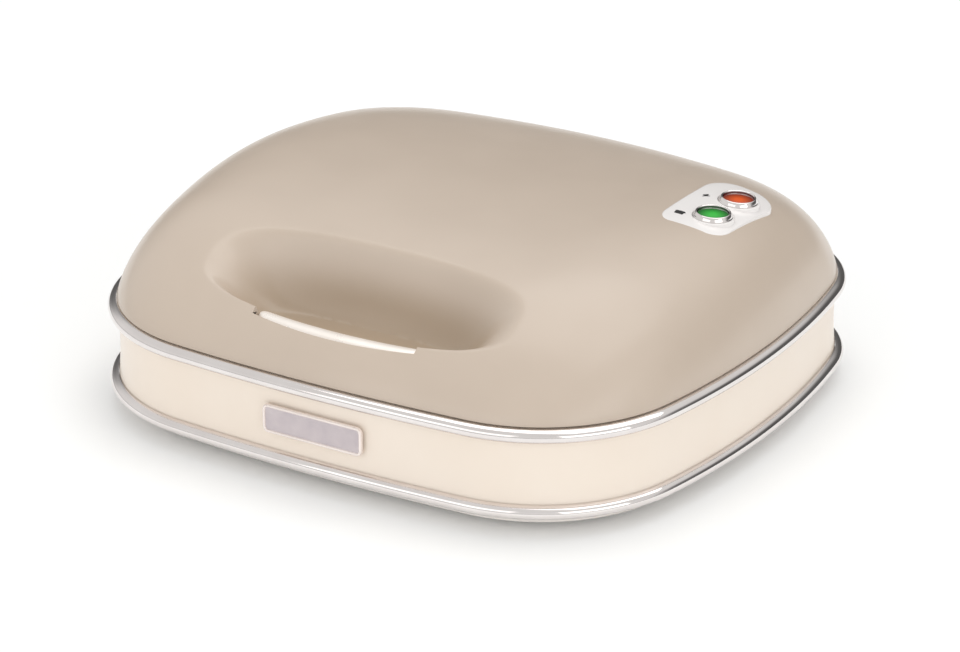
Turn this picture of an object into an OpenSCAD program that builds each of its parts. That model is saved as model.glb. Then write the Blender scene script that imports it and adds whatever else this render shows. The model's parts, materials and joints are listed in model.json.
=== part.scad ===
// Two-slice sandwich toaster with a domed lid, hinged at the rear.
// Millimetres. +Z is up, the front faces -Y, and z = 0 is the worktop.
// Pieces are drawn about the widest line of the body and then moved so that
// the origin is below the middle of the whole object.

/* [Body outline] */
// Width of the body over the trim rings
body_w = 245; // [225:1:294]
// Reach of the body from its widest line to the front
front_reach = 116.5; // [110:0.5:135]
// Reach of the body from its widest line to the rear
rear_reach = 104; // [98:0.5:125]
// Radius of the gentle front edge
front_arc_r = 775; // [500:5:930]
// Radius of the gentle rear edge
rear_arc_r = 580; // [420:5:700]
// Radius of the gentle side edges
side_arc_r = 330; // [290:5:400]
// Radius of the front corners
front_corner_r = 62; // [50:1:74]
// Radius of the rear corners
rear_corner_r = 50; // [42:1:60]

/* [Band and trim rings] */
// Height of a chrome trim ring
ring_h = 5.2; // [4:0.1:6.2]
// How far a trim ring stands out from the band
ring_proud = 3.1; // [2.4:0.1:3.6]
// Height of the middle of the lower ring above the worktop
lower_ring_z = 9.6; // [8:0.1:11]
// Height of the middle of the upper ring above the worktop
upper_ring_z = 38.2; // [38:0.1:45.8]
// Wall of the cream band
band_wall = 2.4; // [1.8:0.1:3]
// Width of the badge plate
badge_w = 41; // [34:0.5:50]
// Height of the badge plate
badge_h = 10.8; // [9:0.1:13]
// Thickness of the badge plate
badge_t = 1.4; // [1:0.1:2]

/* [Bottom and feet] */
// Height of the underside of the bottom pan above the worktop
pan_z = 2.8; // [2.3:0.1:3.4]
// Wall of the bottom pan
pan_wall = 2; // [1.6:0.1:2.4]
// Diameter of a rubber foot
foot_d = 15; // [12:0.5:18]
// Distance of the feet from the middle, sideways
foot_x = 72; // [60:1:78]
// Distance of the front feet from the widest line
foot_front_y = 76; // [70:1:80]
// Distance of the rear feet from the widest line
foot_rear_y = 66; // [60:1:70]

/* [Lid] */
// Gap between the lid and the base when closed
part_gap = 0.5; // [0.4:0.1:0.8]
// Rise of the lid's crown above its lower edge
crown_h = 37; // [35:0.1:44.5]
// Wall of the lid cover
lid_wall = 2.2; // [1.8:0.1:2.6]
// How far the lid's edge stands inside the trim rings
lid_inset = 3.5; // [3.3:0.1:4]
// Half of the length of the finger recess
recess_half = 64.5; // [56:0.5:68]
// Thickness of the metal-sheet frames round the plates
frame_t = 2; // [1.6:0.1:2.4]
// Depth of the ledge that carries a plate's rim
ledge_h = 2.2; // [1.8:0.1:2.6]

/* [Cooking plates] */
// Width of a cooking plate
plate_w = 208; // [190:1:208]
// Depth of a cooking plate, front to rear
plate_d = 134; // [120:1:134]
// Distance of the plates' middle behind the widest line
plate_y = 7; // [4:0.5:9]
// Radius of a plate's corners
plate_r = 24; // [20:1:30]
// Thickness of a plate's rim and walls
plate_t = 2.3; // [2:0.1:2.4]
// Depth of a pocket
pocket_depth = 11; // [8:0.5:11]
// Width of the ridge that cuts a sandwich in two
ridge_w = 5; // [4:0.5:8]
// Space between the pockets and a plate's side edges
side_margin = 13.5; // [13:0.5:18]
// Space between the pockets and a plate's front and rear edges
end_margin = 9; // [9:0.5:14]
// Space between the left and the right sandwich
middle_gap = 14; // [13:0.5:18]
// Draft of a pocket's walls, top to bottom
pocket_draft = 5; // [3:0.5:6]
// Diameter of a heating element's tube
element_d = 6.6; // [6:0.1:7.2]

/* [Lamps] */
// Sideways place of the lamp panel's middle
panel_x = 83; // [80:0.5:84]
// Place of the lamp panel's middle behind the widest line
panel_y = 25; // [20:0.5:29]
// Width of the lamp panel
panel_w = 26; // [24:0.5:28]
// Depth of the lamp panel, front to rear
panel_d = 50; // [42:0.5:52]
// Radius of the lamp panel's corners
panel_r = 10; // [7:0.5:12]
// Distance between the two lamps
lamp_pitch = 19.2; // [18:0.2:24]
// Sideways shift of the lamps from the panel's middle
lamp_shift = 3.5; // [2:0.5:4]
// Diameter of a lamp lens
lens_d = 11.4; // [10.8:0.1:11.8]
// Outer diameter of a lamp bezel
bezel_d = 14.6; // [14.2:0.1:15.2]

/* [Hinge] */
// Distance of the hinge axis behind the rear of the trim rings
hinge_out = 5; // [4.8:0.1:6]
// Height of the hinge axis above the worktop
hinge_z = 31; // [29:0.1:32]
// Sideways place of each hinge
hinge_x = 36; // [34:0.5:40]
// Width of the lid's hinge arm
arm_w = 10; // [8:0.5:12]
// Radius of the hinge knuckles
knuckle_r = 5.4; // [5:0.1:5.4]
// Diameter of a hinge pin
hinge_pin_d = 4; // [3.5:0.1:4.5]
// Running clearance round a pin, on the radius
pin_clear = 0.06; // [0.03:0.01:0.09]
// Gap between parts that move past each other
move_gap = 0.4; // [0.35:0.05:0.6]

/* [Latch] */
// Half of the length of the latch lever
lever_half = 33; // [28:0.5:36]
// Thickness of the latch lever
lever_t = 2.4; // [2:0.1:2.6]
// Height of the top of the latch lever above the lid's lower edge
lever_rise = 13.5; // [13.4:0.1:14]
// Height of the latch pivot above the lid's lower edge
latch_rise = 7; // [6.8:0.1:7.2]
// Distance of the lever's front face from the widest line
lever_y = 98.8; // [98.4:0.1:99]
// Radius that the lever is bowed to
lever_bow_r = 200; // [180:5:300]
// How far the lever's lip reaches forward over the front bar
lip_reach = 4; // [3.4:0.1:4.4]
// Turn of the lever that frees the hook
latch_turn = 10; // [8:0.5:11]
// Diameter of the latch pin
latch_pin_d = 2.2; // [2:0.1:2.4]
// Wire of the latch spring
spring_wire = 0.8; // [0.6:0.1:0.9]
// Turns of the latch spring
spring_turns = 8; // [6:1:10]

/* [Supply lead inlet] */
// Diameter of the hole in the lead gland
gland_bore = 7.4; // [6.4:0.1:8]
// Height of the lead gland above the worktop
gland_z = 24; // [22:0.5:26]

/* [Hidden] */
$fn = 48;
TAUPE = [0.74, 0.67, 0.60];
CREAM = [0.93, 0.88, 0.81];
CHROME = [0.86, 0.86, 0.87];
STEEL = [0.70, 0.71, 0.72];
NONSTICK = [0.16, 0.16, 0.17];
DARK = [0.22, 0.22, 0.23];
WHITE = [0.94, 0.93, 0.91];

half_w = body_w / 2;
base_top = upper_ring_z + ring_h / 2;
lid_z = base_top + part_gap;
band_inset = ring_proud + 0.1;
inner_inset = band_inset + band_wall;
hinge_y = rear_reach + hinge_out;
rear_end = hinge_y + knuckle_r;
y_shift = (front_reach - rear_end) / 2;

// Levels of the base, from the parting plane down
plate_gap = 0.1;
shield_gap = 3.3;
shield_t = 1;
deck_z = base_top - 0.6;
deck_under = deck_z - frame_t;
lower_rim_z = base_top + plate_gap;
lower_floor_z = lower_rim_z - pocket_depth;
lower_element_z = lower_floor_z - plate_t - element_d / 2 - 0.1;
lower_shield_z = lower_element_z - element_d / 2 - shield_gap;

// Levels of the lid, from the parting plane up
lid_deck_z = lid_z + 0.5;
lid_deck_top = lid_deck_z + frame_t;
upper_rim_z = lid_z - plate_gap;
upper_floor_z = upper_rim_z + pocket_depth;
upper_element_z = upper_floor_z + plate_t + element_d / 2 + 0.1;
upper_shield_z = upper_element_z + element_d / 2 + shield_gap;
recess_floor = lid_deck_top + lid_wall + 0.6;
lever_top = lid_z + lever_rise;
latch_z = lid_z + latch_rise;

// The lever, its lip and the slot that takes them
slot_gap = 0.6;
lip_gap = 0.5;
lip_clear = 5;
lip_h = 2.4;
lever_foot = lid_deck_top + 1.4;

// Cooking plate layout
fit = 0.4;
pocket_w = (plate_w - middle_gap) / 2 - side_margin;
pocket_d = plate_d - 2 * end_margin;
shield_w = plate_w - 5;
shield_d = plate_d - 3;
post_x = plate_w / 2 - side_margin / 2;
post_y = plate_d / 2 - 18;
post_r = 2.6;
post_places = [[-post_x, plate_y], [post_x, plate_y], [0, plate_y - post_y], [0, plate_y + post_y]];
runs_y = plate_d / 4.6;

// Screws
screw_r = 1.4;
thread_r = screw_r + 0.02;
screw_head_r = 2.6;
screw_head_h = 1.2;
screw_gap = 0.2;
head_gap = 0.4;
// Twelve-sided screw holes are drawn this much larger, so their flats clear the thread
flats = 1.04;
// How far one piece of a body is sunk into the next, so the two join
sink = 0.2;

// Outline of the body in polar form. The end arc, the side arc and the corner
// arc are tangent, and an inset moves all three inwards in parallel.
function meet(s, n, rs, rn) =
    let (v = n - s, l = norm(v), ex = v / l, x = (rs * rs - rn * rn + l * l) / (2 * l),
        h = sqrt(rs * rs - x * x))
    s + ex * x + [-ex[1], ex[0]] * h;
side_c = [half_w - side_arc_r, 0];
front_c = [0, front_reach - front_arc_r];
rear_c = [0, rear_reach - rear_arc_r];
front_corner_c = meet(side_c, front_c, side_arc_r - front_corner_r, front_arc_r - front_corner_r);
rear_corner_c = meet(side_c, rear_c, side_arc_r - rear_corner_r, rear_arc_r - rear_corner_r);

function to_circle(t, c, r) =
    let (b = c[0] * cos(t) + c[1] * sin(t)) b + sqrt(b * b - c * c + r * r);
function tangent_angle(q, c, arc_r, corner_r, inset) =
    let (p = c + (q - c) * (arc_r - inset) / (arc_r - corner_r)) atan2(p[1], p[0]);
function quarter_r(t, c, arc_r, q, corner_r, inset) =
    t < tangent_angle(q, side_c, side_arc_r, corner_r, inset) ? to_circle(t, side_c, side_arc_r - inset)
    : t < tangent_angle(q, c, arc_r, corner_r, inset) ? to_circle(t, q, corner_r - inset)
    : to_circle(t, c, arc_r - inset);
function rim_r(t, inset) =
    let (u = atan2(abs(sin(t)), abs(cos(t))))
    sin(t) < 0 ? quarter_r(u, front_c, front_arc_r, front_corner_c, front_corner_r, inset)
    : quarter_r(u, rear_c, rear_arc_r, rear_corner_c, rear_corner_r, inset);
function polar(r, t) = [r * cos(t), r * sin(t)];

// Directions of the outline's points: even steps, closer in the corners
rim_n = 80;
rim_angles = [for (i = [0:rim_n - 1]) let (a = 360 * i / rim_n) a + 2.5 * sin(4 * a)];
function rim_loop(inset) = [for (t = rim_angles) polar(rim_r(t, inset), t)];

// Dome of the lid. s runs from 0 at the crown to 1 at the edge. The contours
// are like the outline at the edge and rounder towards the crown.
edge_power = 9.7;
edge_fall = 0.762;
front_power = 6;
front_fall = 0.825;
rounding = 2.18;
rear_slope = 0.009;
crown_bow = 0.001;
function ease(a, b, x) = let (u = max(0, min(1, (x - a) / (b - a)))) u * u * (3 - 2 * u);
function mix(a, b, w) = a + (b - a) * w;
function oval_r(t, inset) =
    let (b = (sin(t) < 0 ? front_reach : rear_reach) - inset)
    1 / norm([cos(t) / (half_w - inset), sin(t) / b]);
function dome_r(s, t, inset) = s * mix(oval_r(t, inset), rim_r(t, inset), pow(s, rounding));
function frontness(t) = sin(t) < 0 ? ease(25, 65, atan2(-sin(t), abs(cos(t)))) : 0;
function dome_rise(s, t) =
    let (g = frontness(t))
    pow(max(0, 1 - pow(s, mix(edge_power, front_power, g))), mix(edge_fall, front_fall, g));
function dome_z(s, t, y, rise) =
    lid_z + rise * dome_rise(s, t) - (rear_slope * y + crown_bow * y * y) * (1 - pow(s, 8));

// Finger recess: a soft rim at the back and the ends, a steep wall in front.
// Its measure d is 0 in the middle of the recess and 1 on its rim.
recess_y = 84;
recess_ahead = 16.4;
recess_behind = 22;
recess_power = 3;
recess_bow = 0.001;
soft_from = 0.42;
steep_from = 0.80;
function recess_depth(p, grow) =
    let (ahead = -recess_y - p[1],
        reach = ahead > 0 ? recess_ahead + grow - recess_bow * p[0] * p[0] : recess_behind + grow,
        across = pow(abs(p[0]) / (recess_half + grow), recess_power),
        along = pow(abs(ahead) / reach, recess_power),
        d = pow(across + along, 1 / recess_power),
        steep = ahead > 0 ? along / (across + along) : 0)
    1 - ease(mix(soft_from, steep_from, steep), 1, d);
function lid_point(s, t, deep) =
    let (inset = lid_inset + deep, p = polar(dome_r(s, t, inset), t),
        z = dome_z(s, t, p[1], crown_h - deep),
        h = recess_depth(p, deep))
    [p[0], p[1], z + (min(z, recess_floor - deep) - z) * h];

// Height of the lid's outer surface above any point of the plan, by halving
function dome_share(p, lo = 0, hi = 1.1, n = 22) =
    n == 0 ? (lo + hi) / 2
    : let (m = (lo + hi) / 2, far = dome_r(m, atan2(p[1], p[0]), lid_inset) > norm(p))
    dome_share(p, far ? lo : m, far ? m : hi, n - 1);
function share_at(z, t, inset, rise, lo = 0.5, hi = 1, n = 20) =
    n == 0 ? lo
    : let (m = (lo + hi) / 2, above = dome_z(m, t, dome_r(m, t, inset) * sin(t), rise) > z)
    share_at(z, t, inset, rise, above ? m : lo, above ? hi : m, n - 1);
function lid_height(p) = let (t = atan2(p[1], p[0])) dome_z(dome_share(p), t, p[1], crown_h);
function lid_normal(p) =
    let (e = 1, dx = lid_height(p + [e, 0]) - lid_height(p - [e, 0]),
        dy = lid_height(p + [0, e]) - lid_height(p - [0, e]), v = [-dx, -dy, 2 * e]) v / norm(v);

// Rings of a closed skin: each ring is a loop of as many points as the others
function skin_faces(rows, n) = concat(
    [[for (j = [0:n - 1]) j]],
    [for (i = [0:rows - 2], j = [0:n - 1]) let (k = (j + 1) % n)
        [i * n + j, (i + 1) * n + j, i * n + k]],
    [for (i = [0:rows - 2], j = [0:n - 1]) let (k = (j + 1) % n)
        [i * n + k, (i + 1) * n + j, (i + 1) * n + k]],
    [[for (j = [n - 1:-1:0]) (rows - 1) * n + j]]);
module skin(loops) {
    polyhedron([for (l = loops, p = l) p], skin_faces(len(loops), len(loops[0])), convexity = 8);
}
// A ring-shaped body: the rows close on themselves
module ring_skin(loops) {
    rows = len(loops);
    n = len(loops[0]);
    polyhedron([for (l = loops, p = l) p],
        [for (i = [0:rows - 1], j = [0:n - 1], h = [0, 1])
            let (k = (j + 1) % n, m = (i + 1) % rows)
            h == 0 ? [i * n + j, m * n + j, i * n + k] : [i * n + k, m * n + j, m * n + k]],
        convexity = 8);
}
// Loop of the outline at an inset and a height
function level(inset, z) = [for (t = rim_angles) let (p = polar(rim_r(t, inset), t)) [p[0], p[1], z]];

// A tube swept along points in space, with flat ends
function tube_ring(pts, i, r, n) =
    let (m = len(pts), a = pts[max(0, i - 1)], b = pts[min(m - 1, i + 1)], d = (b - a) / norm(b - a),
        side = abs(d[2]) < 0.9 ? cross(d, [0, 0, 1]) : cross(d, [1, 0, 0]), u = side / norm(side),
        v = cross(d, u))
    [for (j = [0:n - 1]) pts[i] + r * (u * cos(360 * j / n) + v * sin(360 * j / n))];
module tube(pts, r, n = 8) {
    skin([for (i = [0:len(pts) - 1]) tube_ring(pts, i, r, n)]);
}
// A smooth curve through hand-chosen points
function curve(p, steps = 4) = concat([for (i = [0:len(p) - 2], k = [0:steps - 1])
    let (a = p[max(0, i - 1)], b = p[i], c = p[i + 1], d = p[min(len(p) - 1, i + 2)], t = k / steps)
    0.5 * (2 * b + (c - a) * t + (2 * a - 5 * b + 4 * c - d) * t * t
        + (3 * b - a - 3 * c + d) * t * t * t)], [p[len(p) - 1]]);

function rounded(w, d, r, n = 6) = [for (q = [0:3], i = [0:n])
    let (a = 90 * q + 90 * i / n, sx = q == 0 || q == 3 ? 1 : -1, sy = q < 2 ? 1 : -1)
    [sx * (w / 2 - r) + r * cos(a), sy * (d / 2 - r) + r * sin(a)]];
module block(size, at) {
    translate([at[0] - size[0] / 2, at[1] - size[1] / 2, at[2]]) cube(size);
}
module post(p, r, z0, z1, sides = 48) {
    translate([p[0], p[1], z0]) cylinder(r = r, h = z1 - z0, $fn = sides);
}
// A screw whose head's seat is at z, pointing up for dir = 1 and down for -1
module screw(p, z, length, dir) {
    translate([p[0], p[1], z]) mirror([0, 0, dir > 0 ? 0 : 1]) difference() {
        union() {
            cylinder(r = screw_r, h = length);
            translate([0, 0, -screw_head_h]) cylinder(r = screw_head_r, h = screw_head_h);
        }
        block([screw_head_r * 1.3, 0.7, 1], [0, 0, -screw_head_h - 0.1]);
        block([0.7, screw_head_r * 1.3, 1], [0, 0, -screw_head_h - 0.1]);
    }
}
module placed() {
    translate([0, y_shift, 0]) children();
}

// Latch layout: the pin stands in front of the lever, in lugs of the lid frame
latch_y = lever_y + lever_t;
lug_r = 2.6;
lug_x = 18;
lug_w = 4;
hook_w = 10;
slot_d = 10;
slot_y = -lever_y + 0.3;

// Base shell
// The band is bent round the front and the sides, and a rear panel closes it
module band_loop() {
    translate([0, 0, band_bottom]) linear_extrude(deck_z + sink - band_bottom) difference() {
        polygon(rim_loop(band_inset));
        polygon(rim_loop(inner_inset));
    }
}
panel_seam = 0.2;
module rear_gate(w) block([w, 40, base_top], [0, rear_reach - 10, 0]);
module base_band() color(CREAM) difference() {
    band_loop();
    rear_gate(rear_panel_w + panel_seam);
}
module base_rear_panel() color(CREAM) difference() {
    intersection() {
        band_loop();
        rear_gate(rear_panel_w);
    }
    for (s = [-1, 1]) block([bracket_w + 0.6, 30, bracket_window_h + 0.4],
        [s * hinge_x, rear_reach - 8, bracket_z - 0.2]);
    translate([0, rear_reach + 4, gland_z]) rotate([90, 0, 0]) cylinder(r = gland_body_r + 0.15, h = 20);
}
band_bottom = lower_ring_z;
ring_profile = [for (a = [-90:22.5:90]) [ring_proud * (1 - cos(a)), ring_h / 2 * sin(a)]];
module trim_ring(z) color(CHROME) ring_skin([for (p = ring_profile) level(p[0], z + p[1])]);
module upper_trim_ring() trim_ring(upper_ring_z);
module lower_trim_ring() trim_ring(lower_ring_z);

pan_rim_z = band_bottom - 0.1;
pan_profile = [[24, pan_z], [10.5, pan_z], [7.6, 3.5], [5.4, 4.9], [4.2, 6.4], [band_inset + 0.3, pan_rim_z]];
module base_pan() color(CREAM) difference() {
    union() {
        skin(concat([for (p = pan_profile) level(p[0], p[1])],
            [for (i = [len(pan_profile) - 1:-1:0]) let (p = pan_profile[i])
                level(p[0] + pan_wall, i == len(pan_profile) - 1 ? p[1] : p[1] + pan_wall)]));
        for (p = boss_places) post(p, boss_r, pan_z + pan_wall - sink, pan_boss_top);
        block([30, 9, clamp_z - pan_z - pan_wall + sink], [0, clamp_y, pan_z + pan_wall - sink]);
    }
    for (p = boss_places) post(p, screw_r + screw_gap, pan_z - 1, pan_boss_top + 1);
    for (p = boss_places) post(p, screw_head_r + head_gap, pan_z - 1, pan_z + screw_head_h + head_gap);
    for (p = foot_places) post(p, foot_stem_r + 0.1, pan_z - 1, pan_z + pan_wall + 1);
    for (i = [-3:3]) block([3, 34, pan_wall * 4], [i * 12, plate_y, pan_z - pan_wall]);
    translate([0, clamp_y + 10, clamp_z]) rotate([90, 0, 0]) cylinder(r = gland_bore / 2, h = 20);
    for (s = [-1, 1]) post([s * clamp_x, clamp_y], thread_r, clamp_z - 9, clamp_z + 1);
}
boss_r = 4;
boss_places = [for (s = [-1, 1], p = [[58, -86], [62, 84]]) [s * p[0], p[1]]];
pan_boss_top = 9;
clamp_y = 84;
clamp_x = 10;
clamp_z = gland_z - 0.2;
foot_stem_r = 2.4;
foot_places = [for (y = [-foot_front_y, foot_rear_y], s = [-1, 1]) [s * foot_x, y]];

module foot(i) color(DARK) translate([foot_places[i][0], foot_places[i][1], 0]) rotate_extrude()
    polygon([[0, 0], [foot_d / 2 - 1.4, 0], [foot_d / 2 - 0.6, 0.5], [foot_d / 2, pan_z - 0.1],
        [foot_stem_r, pan_z - 0.1], [foot_stem_r, pan_z + pan_wall + 0.2],
        [foot_stem_r + 0.7, pan_z + pan_wall + 0.2], [foot_stem_r - 0.4, pan_z + pan_wall + 2.2],
        [0, pan_z + pan_wall + 2.2]]);

module base_screws() color(STEEL) for (p = boss_places)
    screw(p, pan_z + screw_head_h + head_gap, pan_boss_top + 5 - pan_z - screw_head_h, 1);

// The frame round the lower plate, with a ledge under the plate's rim
module plate_opening(grow, z0, z1) {
    translate([0, plate_y, z0]) linear_extrude(z1 - z0)
        polygon(rounded(plate_w + 2 * grow, plate_d + 2 * grow, plate_r + grow));
}
module base_frame() color(DARK) difference() {
    union() {
        translate([0, 0, deck_under]) linear_extrude(frame_t) polygon(rim_loop(inner_inset + 0.2));
        plate_opening(2, deck_under - ledge_h, deck_under + 0.1);
        for (p = boss_places) post(p, boss_r, pan_boss_top + 0.1, deck_under + 0.1);
    }
    plate_opening(fit, lower_rim_z - plate_t - 0.05, deck_z + 1);
    plate_opening(-2.2, deck_under - ledge_h - 1, deck_z + 1);
    for (p = boss_places) post(p, thread_r, pan_boss_top - 1, pan_boss_top + 8);
    block([hook_w + 2 * fit, slot_d, frame_t + 2], [0, slot_y, deck_under - 1]);
    for (s = [-1, 1]) post([s * keeper_screw_x, keeper_screw_y], thread_r, deck_under - 1, deck_z + 1);
    for (s = [-1, 1], e = [-1, 1]) post([s * hinge_x + e * 6, bracket_screw_y], thread_r,
        deck_under - 1, deck_z + 1);
}

// Cooking plates. A pocket is a triangle with drafted walls; two of them make
// one sandwich, with a ridge between.
function shrink(tri, d) = [for (i = [0:2]) let (a = tri[(i + 2) % 3], b = tri[i], c = tri[(i + 1) % 3],
    u = (a - b) / norm(a - b), v = (c - b) / norm(c - b), w = (u + v) / norm(u + v),
    half = acos(u * v) / 2) b + w * d / sin(half)];
module wedge(tri, top, bottom, z0, z1) {
    a = shrink(tri, bottom);
    b = shrink(tri, top);
    skin([[for (p = a) [p[0], p[1], z0]], [for (p = b) [p[0], p[1], z1]]]);
}
// The triangle whose right angle is at the outer front or the inner rear
pocket_x0 = middle_gap / 2;
pocket_y0 = plate_y - pocket_d / 2;
function pocket_tri(k) = k == 0
    ? [[pocket_x0 + pocket_w, pocket_y0], [pocket_x0 + pocket_w, pocket_y0 + pocket_d - ridge_w],
        [pocket_x0 + ridge_w, pocket_y0]]
    : [[pocket_x0, pocket_y0 + pocket_d], [pocket_x0, pocket_y0 + ridge_w],
        [pocket_x0 + pocket_w - ridge_w, pocket_y0 + pocket_d]];
// dir is 1 for pockets that open upwards and -1 for pockets that open down
module plate(rim_z, dir, posts) color(NONSTICK) translate([0, 0, rim_z]) mirror([0, 0, dir > 0 ? 0 : 1])
    difference() {
        union() {
            translate([0, 0, -plate_t]) plate_opening(0, 0, plate_t);
            for (s = [0, 1], k = [0, 1]) mirror([s, 0, 0])
                wedge(pocket_tri(k), -plate_t, pocket_draft - plate_t, -pocket_depth - plate_t, -plate_t / 2);
            for (p = posts) post(p, post_r, -post_len, -plate_t / 2);
        }
        for (s = [0, 1], k = [0, 1]) mirror([s, 0, 0])
            wedge(pocket_tri(k), 0, pocket_draft, -pocket_depth, 0.01);
        for (p = posts) post(p, thread_r, -post_len - 1, -post_len + 8);
    }
post_len = lower_rim_z - lower_shield_z - 0.05;
module lower_plate() plate(lower_rim_z, 1, post_places);
module upper_plate() plate(upper_rim_z, -1, upper_posts);

// Tubular heating element: two runs joined by a half turn, with pin terminals
element_end = plate_w / 2 - 46;
module element(z, dir) color(STEEL) translate([0, plate_y, z]) {
    for (s = [-1, 1]) translate([-element_end, s * runs_y, 0]) rotate([0, 90, 0]) {
        cylinder(d = element_d, h = 2 * element_end - 10);
        cylinder(d = 3, h = 2 * element_end + 4);
    }
    translate([-element_end, 0, 0]) rotate([0, 0, 90]) rotate_extrude(angle = 180)
        translate([runs_y, 0]) circle(d = element_d);
}
module lower_element() element(lower_element_z);
module upper_element() element(upper_element_z);

// Heat shields: sheet trays behind the elements, held by the plates' screws
module lower_heat_shield() color(STEEL) difference() {
    translate([0, plate_y, lower_shield_z - shield_t]) linear_extrude(deck_under - ledge_h - lower_shield_z)
        polygon(rounded(shield_w, shield_d, plate_r - 2));
    translate([0, plate_y, lower_shield_z]) linear_extrude(40)
        polygon(rounded(shield_w - 2 * shield_t, shield_d - 2 * shield_t, plate_r - 2 - shield_t));
    for (p = post_places) post(p, screw_r + screw_gap, lower_shield_z - 3, lower_shield_z + 1);
    for (s = [-1, 1]) block([9, 9, 20], [element_end + 12, plate_y + s * runs_y, lower_shield_z - 3]);
}
upper_shield_w = 2 * (post_x + post_r + 1);
upper_shield_d = 2 * (post_y + post_r + 2);
module upper_heat_shield() color(STEEL) difference() {
    translate([0, plate_y, upper_shield_z]) linear_extrude(shield_t)
        polygon(rounded(upper_shield_w, upper_shield_d, 45));
    for (p = post_places) post(p, screw_r + screw_gap, upper_shield_z - 3, upper_shield_z + 3);
    block([upper_shield_w - 2 * panel_x + panel_w + 12, panel_d + 30, 6],
        [upper_shield_w / 2, panel_y, upper_shield_z - 3]);
}
upper_posts = [post_places[0], post_places[2], post_places[3]];
module plate_screws(places, z, dir) color(STEEL) for (p = places) screw(p, z, 7, dir);
module lower_plate_screws() plate_screws(post_places, lower_shield_z - shield_t - 0.02, 1);
module upper_plate_screws() plate_screws(upper_posts, upper_shield_z + shield_t + 0.02, -1);

module thermal_fuse() color(CREAM) translate([-30, plate_y + 4, lower_shield_z + 2.05]) rotate([0, 90, 0]) {
    cylinder(d = 4, h = 14);
    translate([0, 0, -12]) cylinder(d = 1.2, h = 38);
}
module thermostat() color(CREAM) {
    post([-20, plate_y], 8, upper_floor_z + plate_t + 0.05, upper_floor_z + plate_t + 5);
    for (s = [-1, 1]) block([5, 0.8, 4], [-20 + s * 4.5, plate_y, upper_floor_z + plate_t + 4.9]);
}

// Badge: a framed plate with a bare field, on the front of the band
module badge_plate() color(CHROME)
    translate([0, -front_reach + band_inset - 0.05, (lower_ring_z + upper_ring_z) / 2])
    rotate([90, 0, 0]) difference() {
        linear_extrude(badge_t) polygon(rounded(badge_w, badge_h, 2.2));
        translate([0, 0, badge_t - 0.5]) linear_extrude(1)
            polygon(rounded(badge_w - 2.4, badge_h - 2.4, 1.2));
    }

// Lid cover: the inner skin from the crown to the edge, then the outer skin back
dome_rings = [1, 0.99, 0.978, 0.963, 0.945, 0.925, 0.908, 0.896, 0.889, 0.882, 0.875, 0.867, 0.857,
    0.84, 0.815, 0.785, 0.75, 0.71, 0.67, 0.63, 0.59, 0.55, 0.5, 0.42, 0.3, 0.16, 0.02];
rings_n = len(dome_rings);
lid_boss_places = [for (s = [-1, 1], p = [[78, -78], [66, 80]]) [s * p[0], p[1]]];
panel_gap = 0.25;
lever_well = lug_r + move_gap + lever_t + 0.6;
function boss_top(p) = lid_height(p * (1 + boss_r * 0.8 / norm(p))) - lid_wall * 0.6;
function lever_arc(r, from, to) = let (a = asin((lever_half + from) / lever_bow_r))
    [for (i = [0:10]) [0, lever_bow_r - lever_y] + polar(r, -90 + a * (i / 5 - 1) * to)];
module lever_slot(grow, ahead, z0, z1) {
    translate([0, 0, z0]) linear_extrude(z1 - z0) polygon(concat(
        lever_arc(lever_bow_r + ahead + grow, grow, 1), lever_arc(lever_bow_r - lever_t - grow, grow, -1)));
}
function lid_ring(s, deep) = [for (t = rim_angles) lid_point(s, t, deep)];
module lid_cover() color(TAUPE) difference() {
    union() {
        skin(concat([for (i = [rings_n - 1:-1:0]) lid_ring(dome_rings[i], lid_wall)],
            [for (i = [0:rings_n - 1]) lid_ring(dome_rings[i], 0)]));
        for (p = lid_boss_places) post(p, boss_r, lid_deck_top + 0.1, boss_top(p), 12);
    }
    for (p = lid_boss_places) post(p, thread_r * flats, lid_deck_top, lid_deck_top + 8, 12);
    for (a = [0, latch_turn]) translate([0, -latch_y, latch_z]) rotate([-a, 0, 0])
        translate([0, latch_y, -latch_z]) {
            lever_slot(slot_gap, 0, lid_deck_z, lever_top + slot_gap);
            lever_slot(lip_gap, lip_reach, lever_top - lip_h - move_gap, lever_top + lip_clear);
        }
    block([2 * (lug_x + lug_w + 1), lever_well, latch_z + lug_r + move_gap - lid_z],
        [0, lever_well / 2 - latch_y - lug_r - move_gap, lid_z]);
    for (s = [-1, 1]) block([arm_w + 2 * move_gap, 24, arm_top + 0.5 - lid_z + 1],
        [s * hinge_x, rear_reach - 4, lid_z - 1]);
    translate([panel_x, panel_y, recess_floor]) linear_extrude(60)
        polygon(rounded(panel_w + 2 * panel_gap, panel_d + 2 * panel_gap, panel_r + panel_gap));
}

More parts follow.
